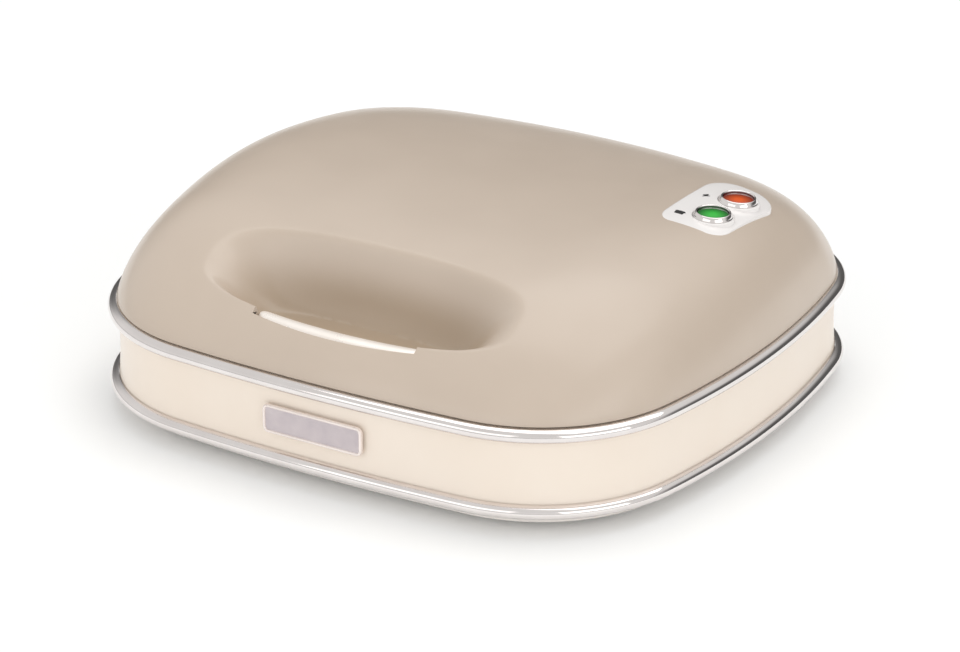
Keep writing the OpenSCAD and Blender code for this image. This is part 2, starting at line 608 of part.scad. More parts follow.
// The frame round the upper plate carries the latch pin and the hinge arms
module lid_frame() color(DARK) difference() {
    union() {
        translate([0, 0, lid_deck_z]) linear_extrude(frame_t) polygon([for (t = rim_angles)
            let (inset = lid_inset + lid_wall, s = share_at(lid_deck_top + 0.4, t, inset, crown_h - lid_wall))
            polar(dome_r(s, t, inset) - sink, t)]);
        plate_opening(2, lid_deck_top - 0.1, lid_deck_top + ledge_h);
        for (s = [-1, 1]) {
            block([lug_w, 2 * lug_r, latch_z - lid_deck_top + 0.1],
                [s * (lug_x + lug_w / 2), -latch_y, lid_deck_top - 0.1]);
            translate([s * (lug_x + lug_w / 2) - lug_w / 2, -latch_y, latch_z]) rotate([0, 90, 0])
                cylinder(r = lug_r, h = lug_w);
        }
    }
    plate_opening(fit, lid_deck_z - 1, upper_rim_z + plate_t + 0.05);
    plate_opening(-2.2, lid_deck_z - 1, lid_deck_top + ledge_h + 1);
    for (p = lid_boss_places) post(p, screw_r + screw_gap, lid_deck_z - 1, lid_deck_top + 1);
    for (s = [-1, 1], y = arm_screw_ys) post([s * hinge_x, y], thread_r, lid_deck_z - 1, lid_deck_top + 1);
    block([hook_w + 2 * fit, slot_d, frame_t + 2], [0, slot_y, lid_deck_z - 1]);
    translate([-lever_half, -latch_y, latch_z]) rotate([0, 90, 0])
        cylinder(r = latch_pin_d / 2 + 0.01, h = 2 * lever_half);
}
module lid_screws() color(STEEL) for (p = lid_boss_places) screw(p, lid_deck_z - 0.02, 9, 1);

// Lamp panel, let into the cover and following its crown
panel_proud = 0.5;
panel_under = lid_wall + 1.9;
panel_tilt = 0.04;
lamp_lean = 0.3;
collar_h = 0.3;
collar_r = bezel_d / 2 + 1;
tilt_from = 10;
function panel_z(p) = lid_height(p) + panel_proud + panel_tilt * (p[1] - panel_y + tilt_from);
function panel_loop(k, drop) = [for (q = rounded(panel_w, panel_d, panel_r))
    let (p = [panel_x, panel_y] + k * q) [p[0], p[1], panel_z(p) - drop]];
lamp_places = [for (s = [1, -1]) [panel_x + lamp_shift, panel_y + s * lamp_pitch / 2]];
module on_collar(p, lift) {
    n = lid_normal(p);
    lean = lamp_lean * norm([n[0], n[1]]);
    translate([p[0], p[1], panel_z(p) + collar_h]) rotate([0, asin(lean), atan2(n[1], n[0])])
        translate([0, 0, lift]) children();
}
lens_r = lens_d / 2;
stem_r = lens_r + 0.9;
lens_under = 4.6;
module lamp_panel() color(WHITE) difference() {
    union() {
        skin([panel_loop(0.1, panel_under), panel_loop(0.55, panel_under), panel_loop(1, panel_under),
            panel_loop(1, 0.4), panel_loop(0.985, 0.1), panel_loop(0.95, 0), panel_loop(0.75, 0),
            panel_loop(0.5, 0), panel_loop(0.1, 0)]);
        for (p = lamp_places) on_collar(p, -3) cylinder(r = collar_r, h = 3);
    }
    for (p = lamp_places) on_collar(p, -9) cylinder(r = stem_r + 0.1, h = 16);
    for (p = lamp_places) on_collar(p, 0) cylinder(r = bezel_d / 2 + 0.6, h = 8);
}
module lamp_bezel(i) color(CHROME) on_collar(lamp_places[i], 0.05) rotate_extrude() polygon([
    [lens_r + 0.1, -lens_under], [stem_r, -lens_under], [stem_r, 0], [bezel_d / 2 + 0.5, 0],
    [bezel_d / 2 + 0.5, 0.25], [bezel_d / 2, 0.4], [bezel_d / 2 - 0.2, 0.9], [lens_r + 0.9, 1.65],
    [lens_r + 0.5, 1.8], [lens_r + 0.1, 1.65]]);
module lamp_lens(i, tint) color(tint) on_collar(lamp_places[i], 0.05) rotate_extrude() polygon([
    [0, -lens_under], [lens_r, -lens_under], [lens_r, 0.9], [lens_r - 0.6, 1.1],
    [lens_r * 0.5, 1.25], [0, 1.3]]);
module neon(i) color("orange") {
    top = panel_z(lamp_places[i]) + collar_h - lens_under - 1;
    post(lamp_places[i], 2.2, holder_z - 2, top);
}
holder_z = lid_height([panel_x, panel_y]) - 16;
module lamp_holder() color(WHITE) difference() {
    union() {
        block([panel_w - 4, panel_d - 6, 2], [panel_x, panel_y, holder_z]);
        for (s = [-1, 1]) let (p = [panel_x - 8, panel_y + s * 14])
            post(p, 2, holder_z + 1, panel_z(p) - panel_under - 0.6);
    }
    for (p = lamp_places) post(p, 2.3, holder_z - 1, holder_z + 3);
}

// Hinge: an arm on the lid between two ears of a bracket on the base
function arc(c, r, a0, a1, n) = [for (i = [0:n]) c + polar(r, mix(a0, a1, i / n))];
arm_low = lid_deck_top + 0.1;
arm_top = arm_low + 4;
arm_front_y = rear_reach + 0.5;
arm_foot_y = plate_y + plate_d / 2 + 7;
arm_screw_ys = [arm_foot_y + 3.5, arm_foot_y + 10.5];
module sidewise(x, w) {
    translate([x - w / 2, 0, 0]) rotate([90, 0, 90]) linear_extrude(w) children();
}
module across(y, z, r, x0, x1) {
    translate([x0, y, z]) rotate([0, 90, 0]) cylinder(r = r, h = x1 - x0);
}
module hinge_arm(s) color(DARK) difference() {
    sidewise(s * hinge_x, arm_w) polygon(concat(
        arc([hinge_y, hinge_z], knuckle_r, 180 - acos((hinge_y - arm_front_y) / knuckle_r), 360, 20),
        arc([rear_end - 6, arm_top - 6], 6, 0, 90, 6),
        [[arm_foot_y, arm_top], [arm_foot_y, arm_low], [arm_front_y, arm_low]]));
    across(hinge_y, hinge_z, hinge_pin_d / 2 + pin_clear, s * hinge_x - arm_w, s * hinge_x + arm_w);
    for (y = arm_screw_ys) post([s * hinge_x, y], screw_r + screw_gap, arm_low - 1, arm_top + 1);
}
module hinge_screws() color(STEEL) for (s = [-1, 1], y = arm_screw_ys)
    screw([s * hinge_x, y], arm_top + 0.02, arm_top - lid_deck_z - 0.1, -1);

ear_t = 5;
ear_r = knuckle_r - 0.4;
bracket_w = arm_w + 2 * (move_gap + ear_t);
rear_panel_w = 2 * hinge_x + bracket_w + 12;
bracket_z = hinge_z - ear_r;
bracket_top = upper_ring_z - ring_h / 2 - 0.4;
bracket_window_h = bracket_top - bracket_z;
bracket_foot = 3;
bracket_foot_y = plate_y + plate_d / 2 + 8;
bracket_wall_y = rear_reach - inner_inset - 2.5;
bracket_screw_y = bracket_foot_y + 5;
module hinge_bracket(s) color(DARK) difference() {
    sidewise(s * hinge_x, bracket_w) polygon(concat(
        arc([hinge_y, hinge_z], ear_r, -90, 90, 14),
        [[rear_reach + 0.6, hinge_z + ear_r], [rear_reach + 0.6, bracket_top], [bracket_wall_y, bracket_top],
        [bracket_wall_y, deck_under - 0.05], [bracket_foot_y, deck_under - 0.05],
        [bracket_foot_y, deck_under - bracket_foot], [bracket_wall_y - 4, deck_under - bracket_foot],
        [bracket_wall_y - 4, bracket_z]]));
    block([arm_w + 2 * move_gap, 20, 30], [s * hinge_x, hinge_y - knuckle_r - move_gap + 10, bracket_z - 5]);
    across(hinge_y, hinge_z, hinge_pin_d / 2 + 0.02, s * hinge_x - bracket_w, s * hinge_x + bracket_w);
    for (e = [-1, 1]) post([s * hinge_x + e * 6, bracket_screw_y], screw_r + screw_gap,
        deck_under - 5, deck_under + 1);
}
module bracket_screws() color(STEEL) for (s = [-1, 1], e = [-1, 1])
    screw([s * hinge_x + e * 6, bracket_screw_y], deck_under - bracket_foot - 0.02,
        bracket_foot + frame_t - 0.2, 1);
module hinge_pin(s) color(STEEL) {
    out = bracket_w / 2 + 0.05;
    across(hinge_y, hinge_z, hinge_pin_d / 2, s * hinge_x - out, s * hinge_x + out);
    for (e = [-1, 1]) across(hinge_y, hinge_z, hinge_pin_d / 2 + 1, s * hinge_x + e * (out + 0.5) - 0.5,
        s * hinge_x + e * (out + 0.5) + 0.5);
}

// Latch: a bowed lever in the front wall of the recess, its hook reaching down
// through both frames behind the keeper's edge
// The bar of the lever: an upright plate under a lip whose top is rolled forward
module lever_bar() {
    a = asin(lever_half / lever_bow_r);
    translate([0, lever_bow_r - lever_y, 0]) rotate(-90 - a) rotate_extrude(angle = 2 * a, $fn = 480)
        translate([lever_bow_r, lever_top]) polygon([
            [-lever_t, lever_foot - lever_top], [0, lever_foot - lever_top], [0, -lip_h],
            [lip_reach, -lip_h], [lip_reach, -lip_h * 0.8], [lip_reach * 0.9, -lip_h * 0.54],
            [lip_reach * 0.7, -lip_h * 0.31], [lip_reach * 0.4, -lip_h * 0.1], [0, 0],
            [-lever_t * 0.6, -lip_h * 0.04], [-lever_t, -lip_h * 0.3]]);
}
hook_z = deck_under - 4.2;
hook_h = 2.5;
hook_reach = 4.5;
knuckle_x = 12.5;
knuckle_w = 4.5;
module latch_lever() color(CHROME) difference() {
    union() {
        lever_bar();
        block([hook_w, lever_t, latch_z - hook_z], [0, -lever_y + lever_t / 2, hook_z]);
        block([hook_w, hook_reach, hook_h], [0, -lever_y + hook_reach / 2, hook_z]);
        for (s = [-1, 1]) {
            across(-latch_y, latch_z, lug_r, s * (knuckle_x + knuckle_w / 2) - knuckle_w / 2,
                s * (knuckle_x + knuckle_w / 2) + knuckle_w / 2);
            block([knuckle_w, lever_t + 1.4, 2 * lug_r - 1],
                [s * (knuckle_x + knuckle_w / 2), -lever_y - 0.5, latch_z - lug_r + 0.5]);
        }
    }
    across(-latch_y, latch_z, latch_pin_d / 2 + pin_clear, -lever_half, lever_half);
}
module latch_pin() color(STEEL)
    across(-latch_y, latch_z, latch_pin_d / 2, -lug_x - lug_w - 0.6, lug_x + lug_w + 0.6);
spring_r = latch_pin_d / 2 + 0.3 + spring_wire / 2;
spring_pitch = 2 * spring_wire + 0.1;
spring_half = (spring_turns + 0.5) * spring_pitch / 2;
echo(str("latch spring: least gap between turns ", spring_pitch - spring_wire, " mm"));
module latch_spring() color(STEEL) tube(concat(
    [for (z = [lid_deck_top + 1.8, latch_z - 1.6]) [-spring_half, -latch_y + spring_r, z]],
    [for (i = [0:8 * spring_turns + 4]) [-spring_half + i * spring_pitch / 8,
        -latch_y + spring_r * cos(45 * i), latch_z + spring_r * sin(45 * i)]],
    [for (z = [latch_z - 1.6, lid_deck_top + 0.2]) [spring_half, -latch_y - spring_r, z]]),
    spring_wire / 2, 6);

keeper_w = 26;
keeper_t = 1.5;
keeper_front_y = -lever_y + hook_reach + move_gap;
keeper_d = 12;
keeper_screw_x = 8;
keeper_screw_y = keeper_front_y + 8;
module latch_keeper() color(STEEL) difference() {
    block([keeper_w, keeper_d, keeper_t], [0, keeper_front_y + keeper_d / 2, deck_under - keeper_t - 0.03]);
    for (s = [-1, 1]) post([s * keeper_screw_x, keeper_screw_y], screw_r + screw_gap,
        deck_under - 5, deck_under + 1);
}
module keeper_screws() color(STEEL) for (s = [-1, 1])
    screw([s * keeper_screw_x, keeper_screw_y], deck_under - keeper_t - 0.05, keeper_t + frame_t - 0.2, 1);

// Supply lead inlet: a bushing through the band, a clamp and a terminal block
gland_body_r = gland_bore / 2 + 2.1;
gland_face_y = rear_reach - band_inset;
gland_in = 8;
gland_out = 2.6;
gland_flange_r = gland_body_r + 2.2;
module cord_gland() color(DARK) translate([0, gland_face_y, gland_z]) rotate([-90, 0, 0]) rotate_extrude()
    polygon([[gland_bore / 2, -gland_in], [gland_body_r, -gland_in], [gland_body_r + 1.4, -band_wall - 1.4],
        [gland_body_r + 1.4, -band_wall - 0.2], [gland_body_r, -band_wall - 0.2], [gland_body_r, 0.1],
        [gland_flange_r, 0.1], [gland_flange_r, gland_out - 0.8], [gland_flange_r - 0.8, gland_out],
        [gland_bore / 2, gland_out]]);
clamp_h = 5;
module cord_clamp() color(CREAM) difference() {
    block([30, 9, clamp_h], [0, clamp_y, clamp_z + 0.4]);
    translate([0, clamp_y + 10, clamp_z + 0.2]) rotate([90, 0, 0]) cylinder(r = gland_bore / 2 - 0.2, h = 20);
    for (s = [-1, 1]) post([s * clamp_x, clamp_y], screw_r + screw_gap, clamp_z, clamp_z + clamp_h + 2);
}
module clamp_screws() color(STEEL) for (s = [-1, 1])
    screw([s * clamp_x, clamp_y], clamp_z + 0.4 + clamp_h + 0.02, clamp_h + 7, -1);
terminal_x = 36;
terminal_z = pan_z + pan_wall + 0.05;
terminal_h = 11;
module terminal_block() color(WHITE) difference() {
    block([28, 11, terminal_h], [terminal_x, clamp_y, terminal_z]);
    for (i = [-1:1]) post([terminal_x + 9 * i, clamp_y], 1.8, terminal_z + 4, terminal_z + terminal_h + 1);
}

// Leads inside the two halves, through points chosen by hand
lead_r = 1.1;
pin_x = element_end + 4.1;
shield_hole_x = element_end + 12;
function to_pin(s, z, low) = [[shield_hole_x, plate_y + s * runs_y, low],
    [shield_hole_x - 0.5, plate_y + s * runs_y, z - 3.4],
    [shield_hole_x - 3.6, plate_y + s * runs_y, z], [pin_x, plate_y + s * runs_y, z]];
module base_wiring() color("darkred") {
    top = terminal_z + terminal_h + 0.8;
    tube(curve(concat([[terminal_x + 9, clamp_y, top], [terminal_x + 11, clamp_y - 1, top + 3],
        [56, 76, 15.5], [66, 62, 11.5], [74, 46, 11]], to_pin(1, lower_element_z, 14)), 3), lead_r);
    tube(curve(concat([[terminal_x, clamp_y, top], [terminal_x - 1, clamp_y - 2, top + 3],
        [32, 76, 15.5], [30, 64, 12], [44, 28, 10.5], [62, -4, 10.5], [72, -14, 11]],
        to_pin(-1, lower_element_z, 14)), 3), lead_r);
}
module lid_wiring() color("darkred") {
    z = upper_shield_z - 2.2;
    for (s = [-1, 1]) tube(curve([[-14, plate_y + 4 * s, z - 0.6], [0, plate_y + 5 * s, z],
        [38, plate_y + 10 * s, z],
        [56, plate_y + s * (runs_y - 8), z], [pin_x + 4, plate_y + s * (runs_y - 2), z - 0.6],
        [pin_x + 5, plate_y + s * runs_y, upper_element_z + 0.6],
        [pin_x, plate_y + s * runs_y, upper_element_z]], 3), lead_r);
    for (i = [0, 1]) let (p = lamp_places[i]) tube(curve([[p[0], p[1], holder_z - 2.2],
        [p[0] - 0.5, p[1], holder_z - 3.6],
        [p[0] - 5, p[1] + 2, holder_z - 4], [80 - 3 * i, 14 + 3 * i, holder_z - 4.2]], 3), lead_r * 0.7, 6);
}

placed() lid_cover();
placed() lid_frame();
placed() upper_plate();
placed() upper_element();
placed() upper_heat_shield();
placed() lamp_panel();
placed() lamp_bezel(0);  // power_lamp_bezel
placed() lamp_bezel(1);  // ready_lamp_bezel
placed() lamp_lens(0, "orangered");  // power_lamp_lens
placed() lamp_lens(1, "limegreen");  // ready_lamp_lens
placed() neon(0);  // power_neon
placed() neon(1);  // ready_neon
placed() lamp_holder();
placed() thermostat();
placed() upper_plate_screws();
placed() lid_screws();
placed() hinge_arm(-1);  // hinge_arm_left
placed() hinge_arm(1);  // hinge_arm_right
placed() hinge_screws();
placed() latch_pin();
placed() latch_spring();
placed() lid_wiring();
placed() latch_lever();
placed() base_band();
placed() base_rear_panel();
placed() upper_trim_ring();
placed() lower_trim_ring();
placed() badge_plate();
placed() base_pan();
placed() base_frame();
placed() lower_plate();
placed() lower_element();
placed() lower_heat_shield();
placed() lower_plate_screws();
placed() thermal_fuse();
placed() base_screws();
placed() foot(0);  // foot_front_left
placed() foot(1);  // foot_front_right
placed() foot(2);  // foot_rear_left
placed() foot(3);  // foot_rear_right
placed() hinge_bracket(-1);  // hinge_bracket_left
placed() hinge_bracket(1);  // hinge_bracket_right
placed() bracket_screws();
placed() hinge_pin(-1);  // hinge_pin_left
placed() hinge_pin(1);  // hinge_pin_right
placed() latch_keeper();
placed() keeper_screws();
placed() cord_gland();
placed() cord_clamp();
placed() clamp_screws();
placed() terminal_block();
placed() base_wiring();
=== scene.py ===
# %% [markdown]
# # A two-slice sandwich toaster with a domed lid
# The engineering model is loaded first. It fixes every size and every moving part, so this
# lesson only adds what the eye sees: smooth shells, polished trim, soft edges and finishes.
# Lengths in the lesson are millimetres, because that is how such a product is drawn.

# %% Load the frame
import bpy, json, math
from mathutils import Matrix, Vector


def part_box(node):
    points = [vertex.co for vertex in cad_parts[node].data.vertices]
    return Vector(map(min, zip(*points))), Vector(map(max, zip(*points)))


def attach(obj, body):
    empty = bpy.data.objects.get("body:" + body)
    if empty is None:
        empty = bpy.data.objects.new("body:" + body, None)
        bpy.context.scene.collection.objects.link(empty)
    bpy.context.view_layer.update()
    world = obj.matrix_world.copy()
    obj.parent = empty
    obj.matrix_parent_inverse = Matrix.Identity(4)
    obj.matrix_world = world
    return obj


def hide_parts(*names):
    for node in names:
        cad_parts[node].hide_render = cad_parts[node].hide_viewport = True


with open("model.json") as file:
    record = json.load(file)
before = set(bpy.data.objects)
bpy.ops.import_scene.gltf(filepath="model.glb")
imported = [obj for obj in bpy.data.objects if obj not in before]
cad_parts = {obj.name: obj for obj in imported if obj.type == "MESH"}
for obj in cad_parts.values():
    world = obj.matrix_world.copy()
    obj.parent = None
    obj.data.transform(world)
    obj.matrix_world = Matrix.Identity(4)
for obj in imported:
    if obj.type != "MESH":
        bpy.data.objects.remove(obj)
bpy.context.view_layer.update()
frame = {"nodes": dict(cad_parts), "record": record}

MM = 0.001

# %% [markdown]
# ## The camera
# The object was photographed from the front right, looking down about 24 degrees, from about a
# metre and a half with a long lens. A long lens keeps the two trim rings nearly parallel.

# %% Camera
half_w, front_reach, rear_reach = 122.5, 116.5, 104.0
shift_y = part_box("upper_trim_ring")[0].y / MM + front_reach
target = Vector((-6.31, 8.12 + shift_y, 15.7)) * MM
azimuth, elevation, distance = math.radians(31.40), math.radians(23.91), 1.489
back = Vector((math.sin(azimuth) * math.cos(elevation), -math.cos(azimuth) * math.cos(elevation),
               math.sin(elevation)))
camera = bpy.data.objects.new("camera", bpy.data.cameras.new("camera"))
bpy.context.scene.collection.objects.link(camera)
camera.location = target + back * distance
camera.rotation_euler = back.to_track_quat("Z", "Y").to_euler()
camera.data.lens, camera.data.sensor_width = 150, 36
bpy.context.scene.camera = camera
print("camera", [round(v, 3) for v in camera.location], "body shifted back", round(shift_y, 2), "mm")

# %% [markdown]
# ## Working by hand, in code
# Operators act on what is selected, so each step starts from nothing selected. Points are then
# chosen by where they are, and not by their numbers, because numbers change with every cut and a
# place doesn't.

# %% Selection helpers
def only(piece):
    bpy.ops.object.select_all(action="DESELECT")
    piece.select_set(True)
    bpy.context.view_layer.objects.active = piece
    return piece


def edit(piece, kind="VERT"):
    only(piece)
    bpy.ops.object.mode_set(mode="EDIT")
    bpy.ops.mesh.select_mode(type=kind)
    bpy.ops.mesh.select_all(action="DESELECT")


def pick(piece, test, kind="VERT"):
    """Selects the points, edges or faces whose middle passes the test."""
    edit(piece, kind)
    bpy.ops.object.mode_set(mode="OBJECT")
    data = piece.data
    parts = {"VERT": data.vertices, "EDGE": data.edges, "FACE": data.polygons}[kind]
    for part in parts:
        where = part.co if kind == "VERT" else part.center if kind == "FACE" else (
            data.vertices[part.vertices[0]].co + data.vertices[part.vertices[1]].co) / 2
        part.select = bool(test(where / MM))
    bpy.ops.object.mode_set(mode="EDIT")


def leave():
    bpy.ops.object.mode_set(mode="OBJECT")


def face_outwards(piece):
    edit(piece)
    bpy.ops.mesh.select_all(action="SELECT")
    bpy.ops.mesh.normals_make_consistent(inside=False)
    leave()


def modify(piece, kind, **settings):
    """Adds a modifier and applies it at once."""
    only(piece)
    modifier = piece.modifiers.new(kind.lower(), kind)
    for key, value in settings.items():
        setattr(modifier, key, value)
    bpy.ops.object.modifier_apply(modifier=modifier.name)


def smooth(piece, degrees=35):
    only(piece)
    bpy.ops.object.shade_smooth_by_angle(angle=math.radians(degrees))


def place_on(piece, body, material, slot, *nodes):
    piece.data.materials.clear()
    piece.data.materials.append(material)
    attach(piece, body)
    if nodes:
        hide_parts(*nodes)
    return piece


# %% [markdown]
# ## Stacked loops
# Most of this body is a loop that changes as it climbs: a trim ring, a band, a dome. Such a shape
# could be sculpted from a rounded box, but then no two pieces would share an edge exactly. Here a
# circle is extruded once for each row, which gives clean rows of four-sided faces, and each row is
# moved to its real loop. The row is known from its height and the place in it from its direction.

# %% Build a piece from stacked loops
def stacked(name, sides, rows, place, close=False, poles=(), caps=()):
    bpy.ops.object.select_all(action="DESELECT")
    bpy.ops.mesh.primitive_circle_add(vertices=sides, radius=1, fill_type="NOTHING")
    piece = bpy.context.object
    piece.name = piece.data.name = name
    edit(piece)
    bpy.ops.mesh.select_all(action="SELECT")
    for _ in range(rows - 1):
        bpy.ops.mesh.extrude_region_move(TRANSFORM_OT_translate={"value": (0, 0, 1)})
    leave()
    row_of = {}
    for v in piece.data.vertices:
        row = round(v.co.z)
        row_of.setdefault(row, []).append(v.index)
        angle = math.degrees(math.atan2(v.co.y, v.co.x))
        v.co = Vector(place(row, angle)) * MM

    def take(*chosen):
        edit(piece)
        leave()
        for row in chosen:
            for i in row_of[row]:
                piece.data.vertices[i].select = True
        bpy.ops.object.mode_set(mode="EDIT")
    if close:
        take(0, rows - 1)
        bpy.ops.mesh.select_mode(type="EDGE")
        bpy.ops.mesh.bridge_edge_loops()
        leave()
    for row in caps:
        take(row)
        bpy.ops.mesh.edge_face_add()
        leave()
    for row in sorted(poles, reverse=True):
        take(row)
        bpy.ops.mesh.merge(type="CENTER")
        leave()
    face_outwards(piece)
    smooth(piece)
    print(name, len(piece.data.polygons), "faces")
    return piece


# %% [markdown]
# ## The outline of the body
# Seen from above, each edge is a large gentle arc and each corner a small one, and neighbours
# share a tangent. An inset moves all of them inwards in parallel, so every shell that follows
# has its own fair outline.

# %% Outline
side_arc, corner = 330.0, {False: 62.0, True: 50.0}
end_arc = {False: 775.0, True: 580.0}
reach = {False: front_reach, True: rear_reach}


def corner_middle(rear):
    s, n = Vector((half_w - side_arc, 0)), Vector((0, reach[rear] - end_arc[rear]))
    rs, rn = side_arc - corner[rear], end_arc[rear] - corner[rear]
    line = n - s
    x = (rs * rs - rn * rn + line.length_squared) / (2 * line.length)
    u = line.normalized()
    return s + u * x + Vector((-u.y, u.x)) * math.sqrt(rs * rs - x * x)


middles = {rear: corner_middle(rear) for rear in (False, True)}


def rim_r(angle, inset):
    """Distance from the centre to the outline in a direction in degrees."""
    a = math.radians(angle)
    rear = math.sin(a) >= 0
    t = math.atan2(abs(math.sin(a)), abs(math.cos(a)))
    q, side, end = middles[rear], Vector((half_w - side_arc, 0)), Vector((0, reach[rear] - end_arc[rear]))

    def hit(c, r):
        b = c.x * math.cos(t) + c.y * math.sin(t)
        return b + math.sqrt(b * b - c.length_squared + r * r)

    def seam(c, r):
        p = c + (q - c) * (r - inset) / (r - corner[rear])
        return math.atan2(p.y, p.x)
    if t < seam(side, side_arc):
        return hit(side, side_arc - inset)
    return hit(q, corner[rear] - inset) if t < seam(end, end_arc[rear]) else hit(end, end_arc[rear] - inset)


def crowd(angle):
    """Directions drawn closer together in the corners."""
    return angle + 2.5 * math.sin(math.radians(4 * angle))


def on_rim(angle, inset, z):
    t = crowd(angle)
    r, a = rim_r(t, inset), math.radians(t)
    return (r * math.cos(a), r * math.sin(a) + shift_y, z)


print("outline", [round(rim_r(t, 0), 1) for t in (0, 45, 90, -45, -90)])

# %% [markdown]
# ## Finishes
# The lid and band are glossy moulded plastic, the rings are polished, the plates are coated and the
# frames painted. Every finish is a small recipe of nodes on Object coordinates: a base colour with
# a slow drift, a roughness that wanders a little as handled surfaces do, and a fine relief. One
# recipe serves them all, so they sit together. Numbers that are the same all over are typed into
# the shader itself.

# %% Finish recipe
def linear(rgb):
    return tuple(c / 12.92 if c <= 0.04045 else ((c + 0.055) / 1.055) ** 2.4 for c in (v / 255 for v in rgb))


def finish(name, rgb, other=None, rough=(0.3, 0.4), metal=0.0, coat=0.0, coat_rough=0.05, drift=25.0,
           grain=900.0, relief=0.0, spread=(0.35, 0.65), **sockets):
    mat = bpy.data.materials.new(name)
    mat.use_nodes = True
    nodes, links = mat.node_tree.nodes, mat.node_tree.links
    shader = nodes["Principled BSDF"]
    where = nodes.new("ShaderNodeTexCoord").outputs["Object"]

    def noise(scale, detail=3):
        n = nodes.new("ShaderNodeTexNoise")
        n.inputs["Scale"].default_value, n.inputs["Detail"].default_value = scale, detail
        links.new(where, n.inputs["Vector"])
        return n.outputs["Fac"]
    slow, fine = noise(drift), noise(grain, 2)
    ramp = nodes.new("ShaderNodeValToRGB")
    ramp.color_ramp.elements[0].position, ramp.color_ramp.elements[1].position = spread
    ramp.color_ramp.elements[0].color = (*linear(other or [v * 0.97 for v in rgb]), 1)
    ramp.color_ramp.elements[1].color = (*linear(rgb), 1)
    links.new(slow, ramp.inputs["Fac"])
    links.new(ramp.outputs["Color"], shader.inputs["Base Color"])
    rub = nodes.new("ShaderNodeMapRange")
    rub.inputs["To Min"].default_value, rub.inputs["To Max"].default_value = rough
    rub.inputs["From Min"].default_value, rub.inputs["From Max"].default_value = 0.3, 0.7
    links.new(noise(drift * 2.7, 4), rub.inputs["Value"])
    links.new(rub.outputs["Result"], shader.inputs["Roughness"])
    if relief:
        bump = nodes.new("ShaderNodeBump")
        bump.inputs["Strength"].default_value, bump.inputs["Distance"].default_value = 1.0, relief * MM
        links.new(fine, bump.inputs["Height"])
        links.new(bump.outputs["Normal"], shader.inputs["Normal"])
    shader.inputs["Metallic"].default_value = metal
    shader.inputs["Coat Weight"].default_value = coat
    shader.inputs["Coat Roughness"].default_value = coat_rough
    for key, value in sockets.items():
        shader.inputs[key.replace("_", " ")].default_value = value
    return mat


taupe = finish("glossy_taupe", (203, 187, 171), (200, 184, 168), rough=(0.30, 0.36), coat=0.30,
               coat_rough=0.18, relief=0.004, grain=420)


def paint_hollow_shade(mat, centre, radii, rgb, edge):
    """Paints shade into a finish inside an egg-shaped space: a painted darkening of the base colour where a
    hollow sees little light.
    """
    nodes, links = mat.node_tree.nodes, mat.node_tree.links
    shader = nodes["Principled BSDF"]
    base = shader.inputs["Base Color"].links[0].from_socket
    mapping, ball = nodes.new("ShaderNodeMapping"), nodes.new("ShaderNodeTexGradient")
    mapping.vector_type, ball.gradient_type = "TEXTURE", "SPHERICAL"
    mapping.inputs["Location"].default_value = Vector(centre) * MM
    mapping.inputs["Scale"].default_value = Vector(radii) * MM
    links.new(nodes["Texture Coordinate"].outputs["Object"], mapping.inputs["Vector"])
    links.new(mapping.outputs["Vector"], ball.inputs["Vector"])
    amount = nodes.new("ShaderNodeMapRange")
    amount.interpolation_type = "SMOOTHSTEP"
    amount.inputs["From Max"].default_value = edge
    links.new(ball.outputs["Fac"], amount.inputs["Value"])
    blend = nodes.new("ShaderNodeMix")
    blend.data_type = "RGBA"
    blend.blend_type = "MULTIPLY"
    fac, a, b = (blend.inputs[i] for i in (0, 6, 7))
    b.default_value = (*rgb, 1)
    links.new(amount.outputs["Result"], fac)
    links.new(base, a)
    links.new(blend.outputs[2], shader.inputs["Base Color"])


# Painted shade: the lid's taupe is darkened inside the finger recess, in place of the shade of the hollow.
recess_middle, recess_reach, recess_shade_tint = (2, -80 + shift_y, 44), (88, 25, 29), (0.75, 0.70, 0.62)
paint_hollow_shade(taupe, recess_middle, recess_reach, recess_shade_tint, 0.5)
pan_cream = finish("pan_cream", (246, 240, 234), (243, 236, 230), rough=(0.32, 0.38), coat=0.3,
                   coat_rough=0.15)
cream = finish("glossy_cream", (246, 233, 219), (244, 230, 215), rough=(0.32, 0.38), coat=0.35,
               coat_rough=0.15, relief=0.004, grain=420)
bright = finish("bright_lip", (252, 245, 238), (246, 238, 230), rough=(0.26, 0.36), metal=0.35, drift=60)
chrome = finish("polished_chrome", (238, 233, 231), (232, 226, 224), rough=(0.04, 0.09), metal=1.0, drift=60)
steel = finish("plain_steel", (190, 190, 192), (172, 172, 175), rough=(0.28, 0.45), metal=1.0, drift=90,
               relief=0.01)
nonstick = finish("nonstick_coating", (46, 45, 46), (36, 35, 36), rough=(0.30, 0.46), drift=40,
                  grain=2600, relief=0.03, coat=0.2, coat_rough=0.3)
dark_frame = finish("dark_frame_paint", (58, 57, 57), (48, 47, 47), rough=(0.40, 0.55), grain=1500,
                    relief=0.03)
panel_white = finish("white_panel", (245, 242, 240), (242, 238, 236), rough=(0.22, 0.28), coat=0.5,
                     coat_rough=0.06)
insulator = finish("pale_insulator", (232, 229, 220), (218, 214, 204), rough=(0.5, 0.65), relief=0.02)
rubber = finish("black_rubber", (38, 38, 38), (28, 28, 28), rough=(0.6, 0.8), grain=1800, relief=0.05)
lead_jacket = finish("lead_jacket", (120, 28, 22), (96, 20, 16), rough=(0.4, 0.55))
badge_field = finish("badge_field", (206, 196, 198), (196, 186, 190), rough=(0.30, 0.42), metal=0.55,
                     drift=140)
badge_rim = finish("badge_rim", (247, 236, 230), (240, 228, 222), rough=(0.16, 0.24), metal=0.35,
                   coat=0.4)
ink = finish("black_ink", (28, 26, 26), (20, 19, 19), rough=(0.4, 0.5))
print(len(bpy.data.materials), "finishes")

# %% [markdown]
# Every piece of the engineering model gets a finish now. Pieces that are replaced later are
# hidden, so only what lies inside or under the toaster keeps these.

